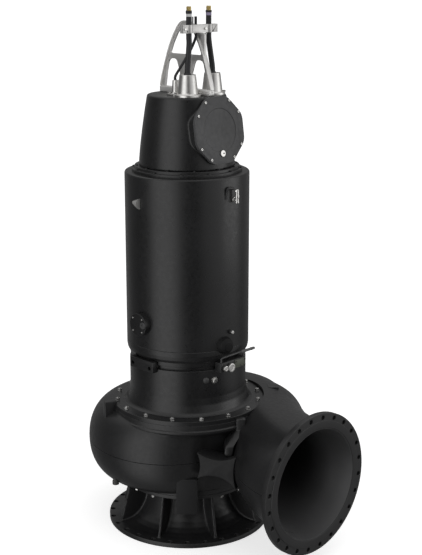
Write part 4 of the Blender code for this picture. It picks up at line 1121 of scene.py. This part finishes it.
# Brightness of the studio at angles to the right of the camera, seen from the pump
AROUND = [(-180, 0.2), (-150, 0.24), (-125, 0.13), (-95, 0.07), (-74, 0.16), (-66, 0.98),
          (-52, 1.32), (-34, 1.32), (-22, 1.02), (-12, 0.32), (-2, 0.05), (18, 0.05), (34, 0.45),
          (56, 0.62), (100, 0.6), (120, 0.2), (145, 0.22), (180, 0.2)]
OVERHEAD, UNDERFOOT, WHITE = 0.8, 0.22, (1, 1, 1)


def horizontal(degrees):
    """The way that an azimuth points."""
    azimuth = radians(degrees)
    return Vector((cos(azimuth), sin(azimuth), 0))


def studio_light():
    """A soft studio: pale boxes at both sides, one overhead and a dim floor, all by direction."""
    world = bpy.data.worlds.new("studio")
    bpy.context.scene.world = world
    world.use_nodes = True
    t = Nodes(world.node_tree)
    way = t.add("TexCoord").outputs["Generated"]
    toward = horizontal(CAMERA_AZIMUTH)
    ahead, aside = t.dot(way, toward), t.dot(way, (-toward.y, toward.x, 0))
    angle = t.add("Math", {0: aside, 1: ahead}, operation="ARCTAN2").outputs[0]
    ramp = t.add("ValToRGB", {0: t.span(angle, 0, 1, -pi, pi)})
    ramp.color_ramp.interpolation = "EASE"
    stops = ramp.color_ramp.elements
    for i, (turn, level) in enumerate(AROUND):
        spot = (turn + 180) / 360
        stop = stops[i] if i < 2 else stops.new(spot)
        stop.position = spot
        stop.color = (level, level, level, 1)
    height = t.add("SeparateXYZ", {0: way}).outputs[2]
    lit = ramp.outputs[0]
    for start, end, level in ((0.3, 0.8, OVERHEAD), (-0.45, -0.85, UNDERFOOT)):
        part = t.span(height, 0, 1, start, end, interpolation_type="SMOOTHSTEP")
        lit = t.blend(part, lit, (level, level, level))
    # The right side fades towards the floor
    low = t.span(height, 0.5, 1.0, -0.3, -0.19)
    fade = t.add("Mix", {0: t.span(aside, 0, 1, 0.1, 0.4), 2: 1.0, 3: low}).outputs[0]
    seen = t.add("LightPath").outputs["Is Camera Ray"]
    strength = t.add("Mix", {0: seen, 2: fade, 3: 1.0}).outputs[0]
    t.fill(t.tree.nodes["Background"], {0: t.blend(seen, lit, WHITE), 1: strength})


def softbox(name, turn, distance, height, width, tall, power):
    """An upright area light at an angle to the right of the camera, seen from the pump."""
    data = bpy.data.lights.new(name, "AREA")
    data.shape = "RECTANGLE"
    data.size, data.size_y, data.energy = width, tall, power
    out = horizontal(CAMERA_AZIMUTH + turn)
    spot = AXIS.translation + out * distance + Vector((0, 0, height))
    facing = (-out).to_track_quat("-Z", "Y").to_matrix().to_4x4()
    in_scene(name, data).matrix_world = Matrix.Translation(spot) @ facing


def stage():
    """A plain pale floor that only the camera sees, the studio round it and a box at the right."""
    t = Paint("studio_floor")
    pale = t.blend(t.span(t.noise(0.4, 2), 0, 1), (0.8, 0.8, 0.8), (0.82, 0.82, 0.82))
    t.set(Base_Color=pale, Roughness=0.9, Specular_IOR_Level=0.0, Emission_Color=(*WHITE, 1),
          Emission_Strength=0.62)
    bm = bmesh.new()
    bmesh.ops.create_circle(bm, cap_ends=True, radius=160, segments=96, matrix=at(z=-0.0005))
    mesh = plain_mesh(bm)
    mesh.materials.append(t.material)
    floor = in_scene("floor", mesh)
    floor.visible_glossy = floor.visible_diffuse = floor.visible_shadow = False
    bpy.context.scene.view_settings.view_transform = "Standard"
    studio_light()
    softbox("softbox_right", 84, distance=5.5, height=2.9, width=3.4, tall=3.8, power=34)


photo_camera()
suction_stand()
volute_casing()
bearing_and_motor()
terminal_housing()
glands()
cables()
cable_clamp()
lifting_bail()
jacket_fittings()
vent()
valve_pads()
valve_handle()
valve_caps()
oil_plugs()
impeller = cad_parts["impeller"].data
impeller.materials.clear()
impeller.materials.append(IRON)
stage()
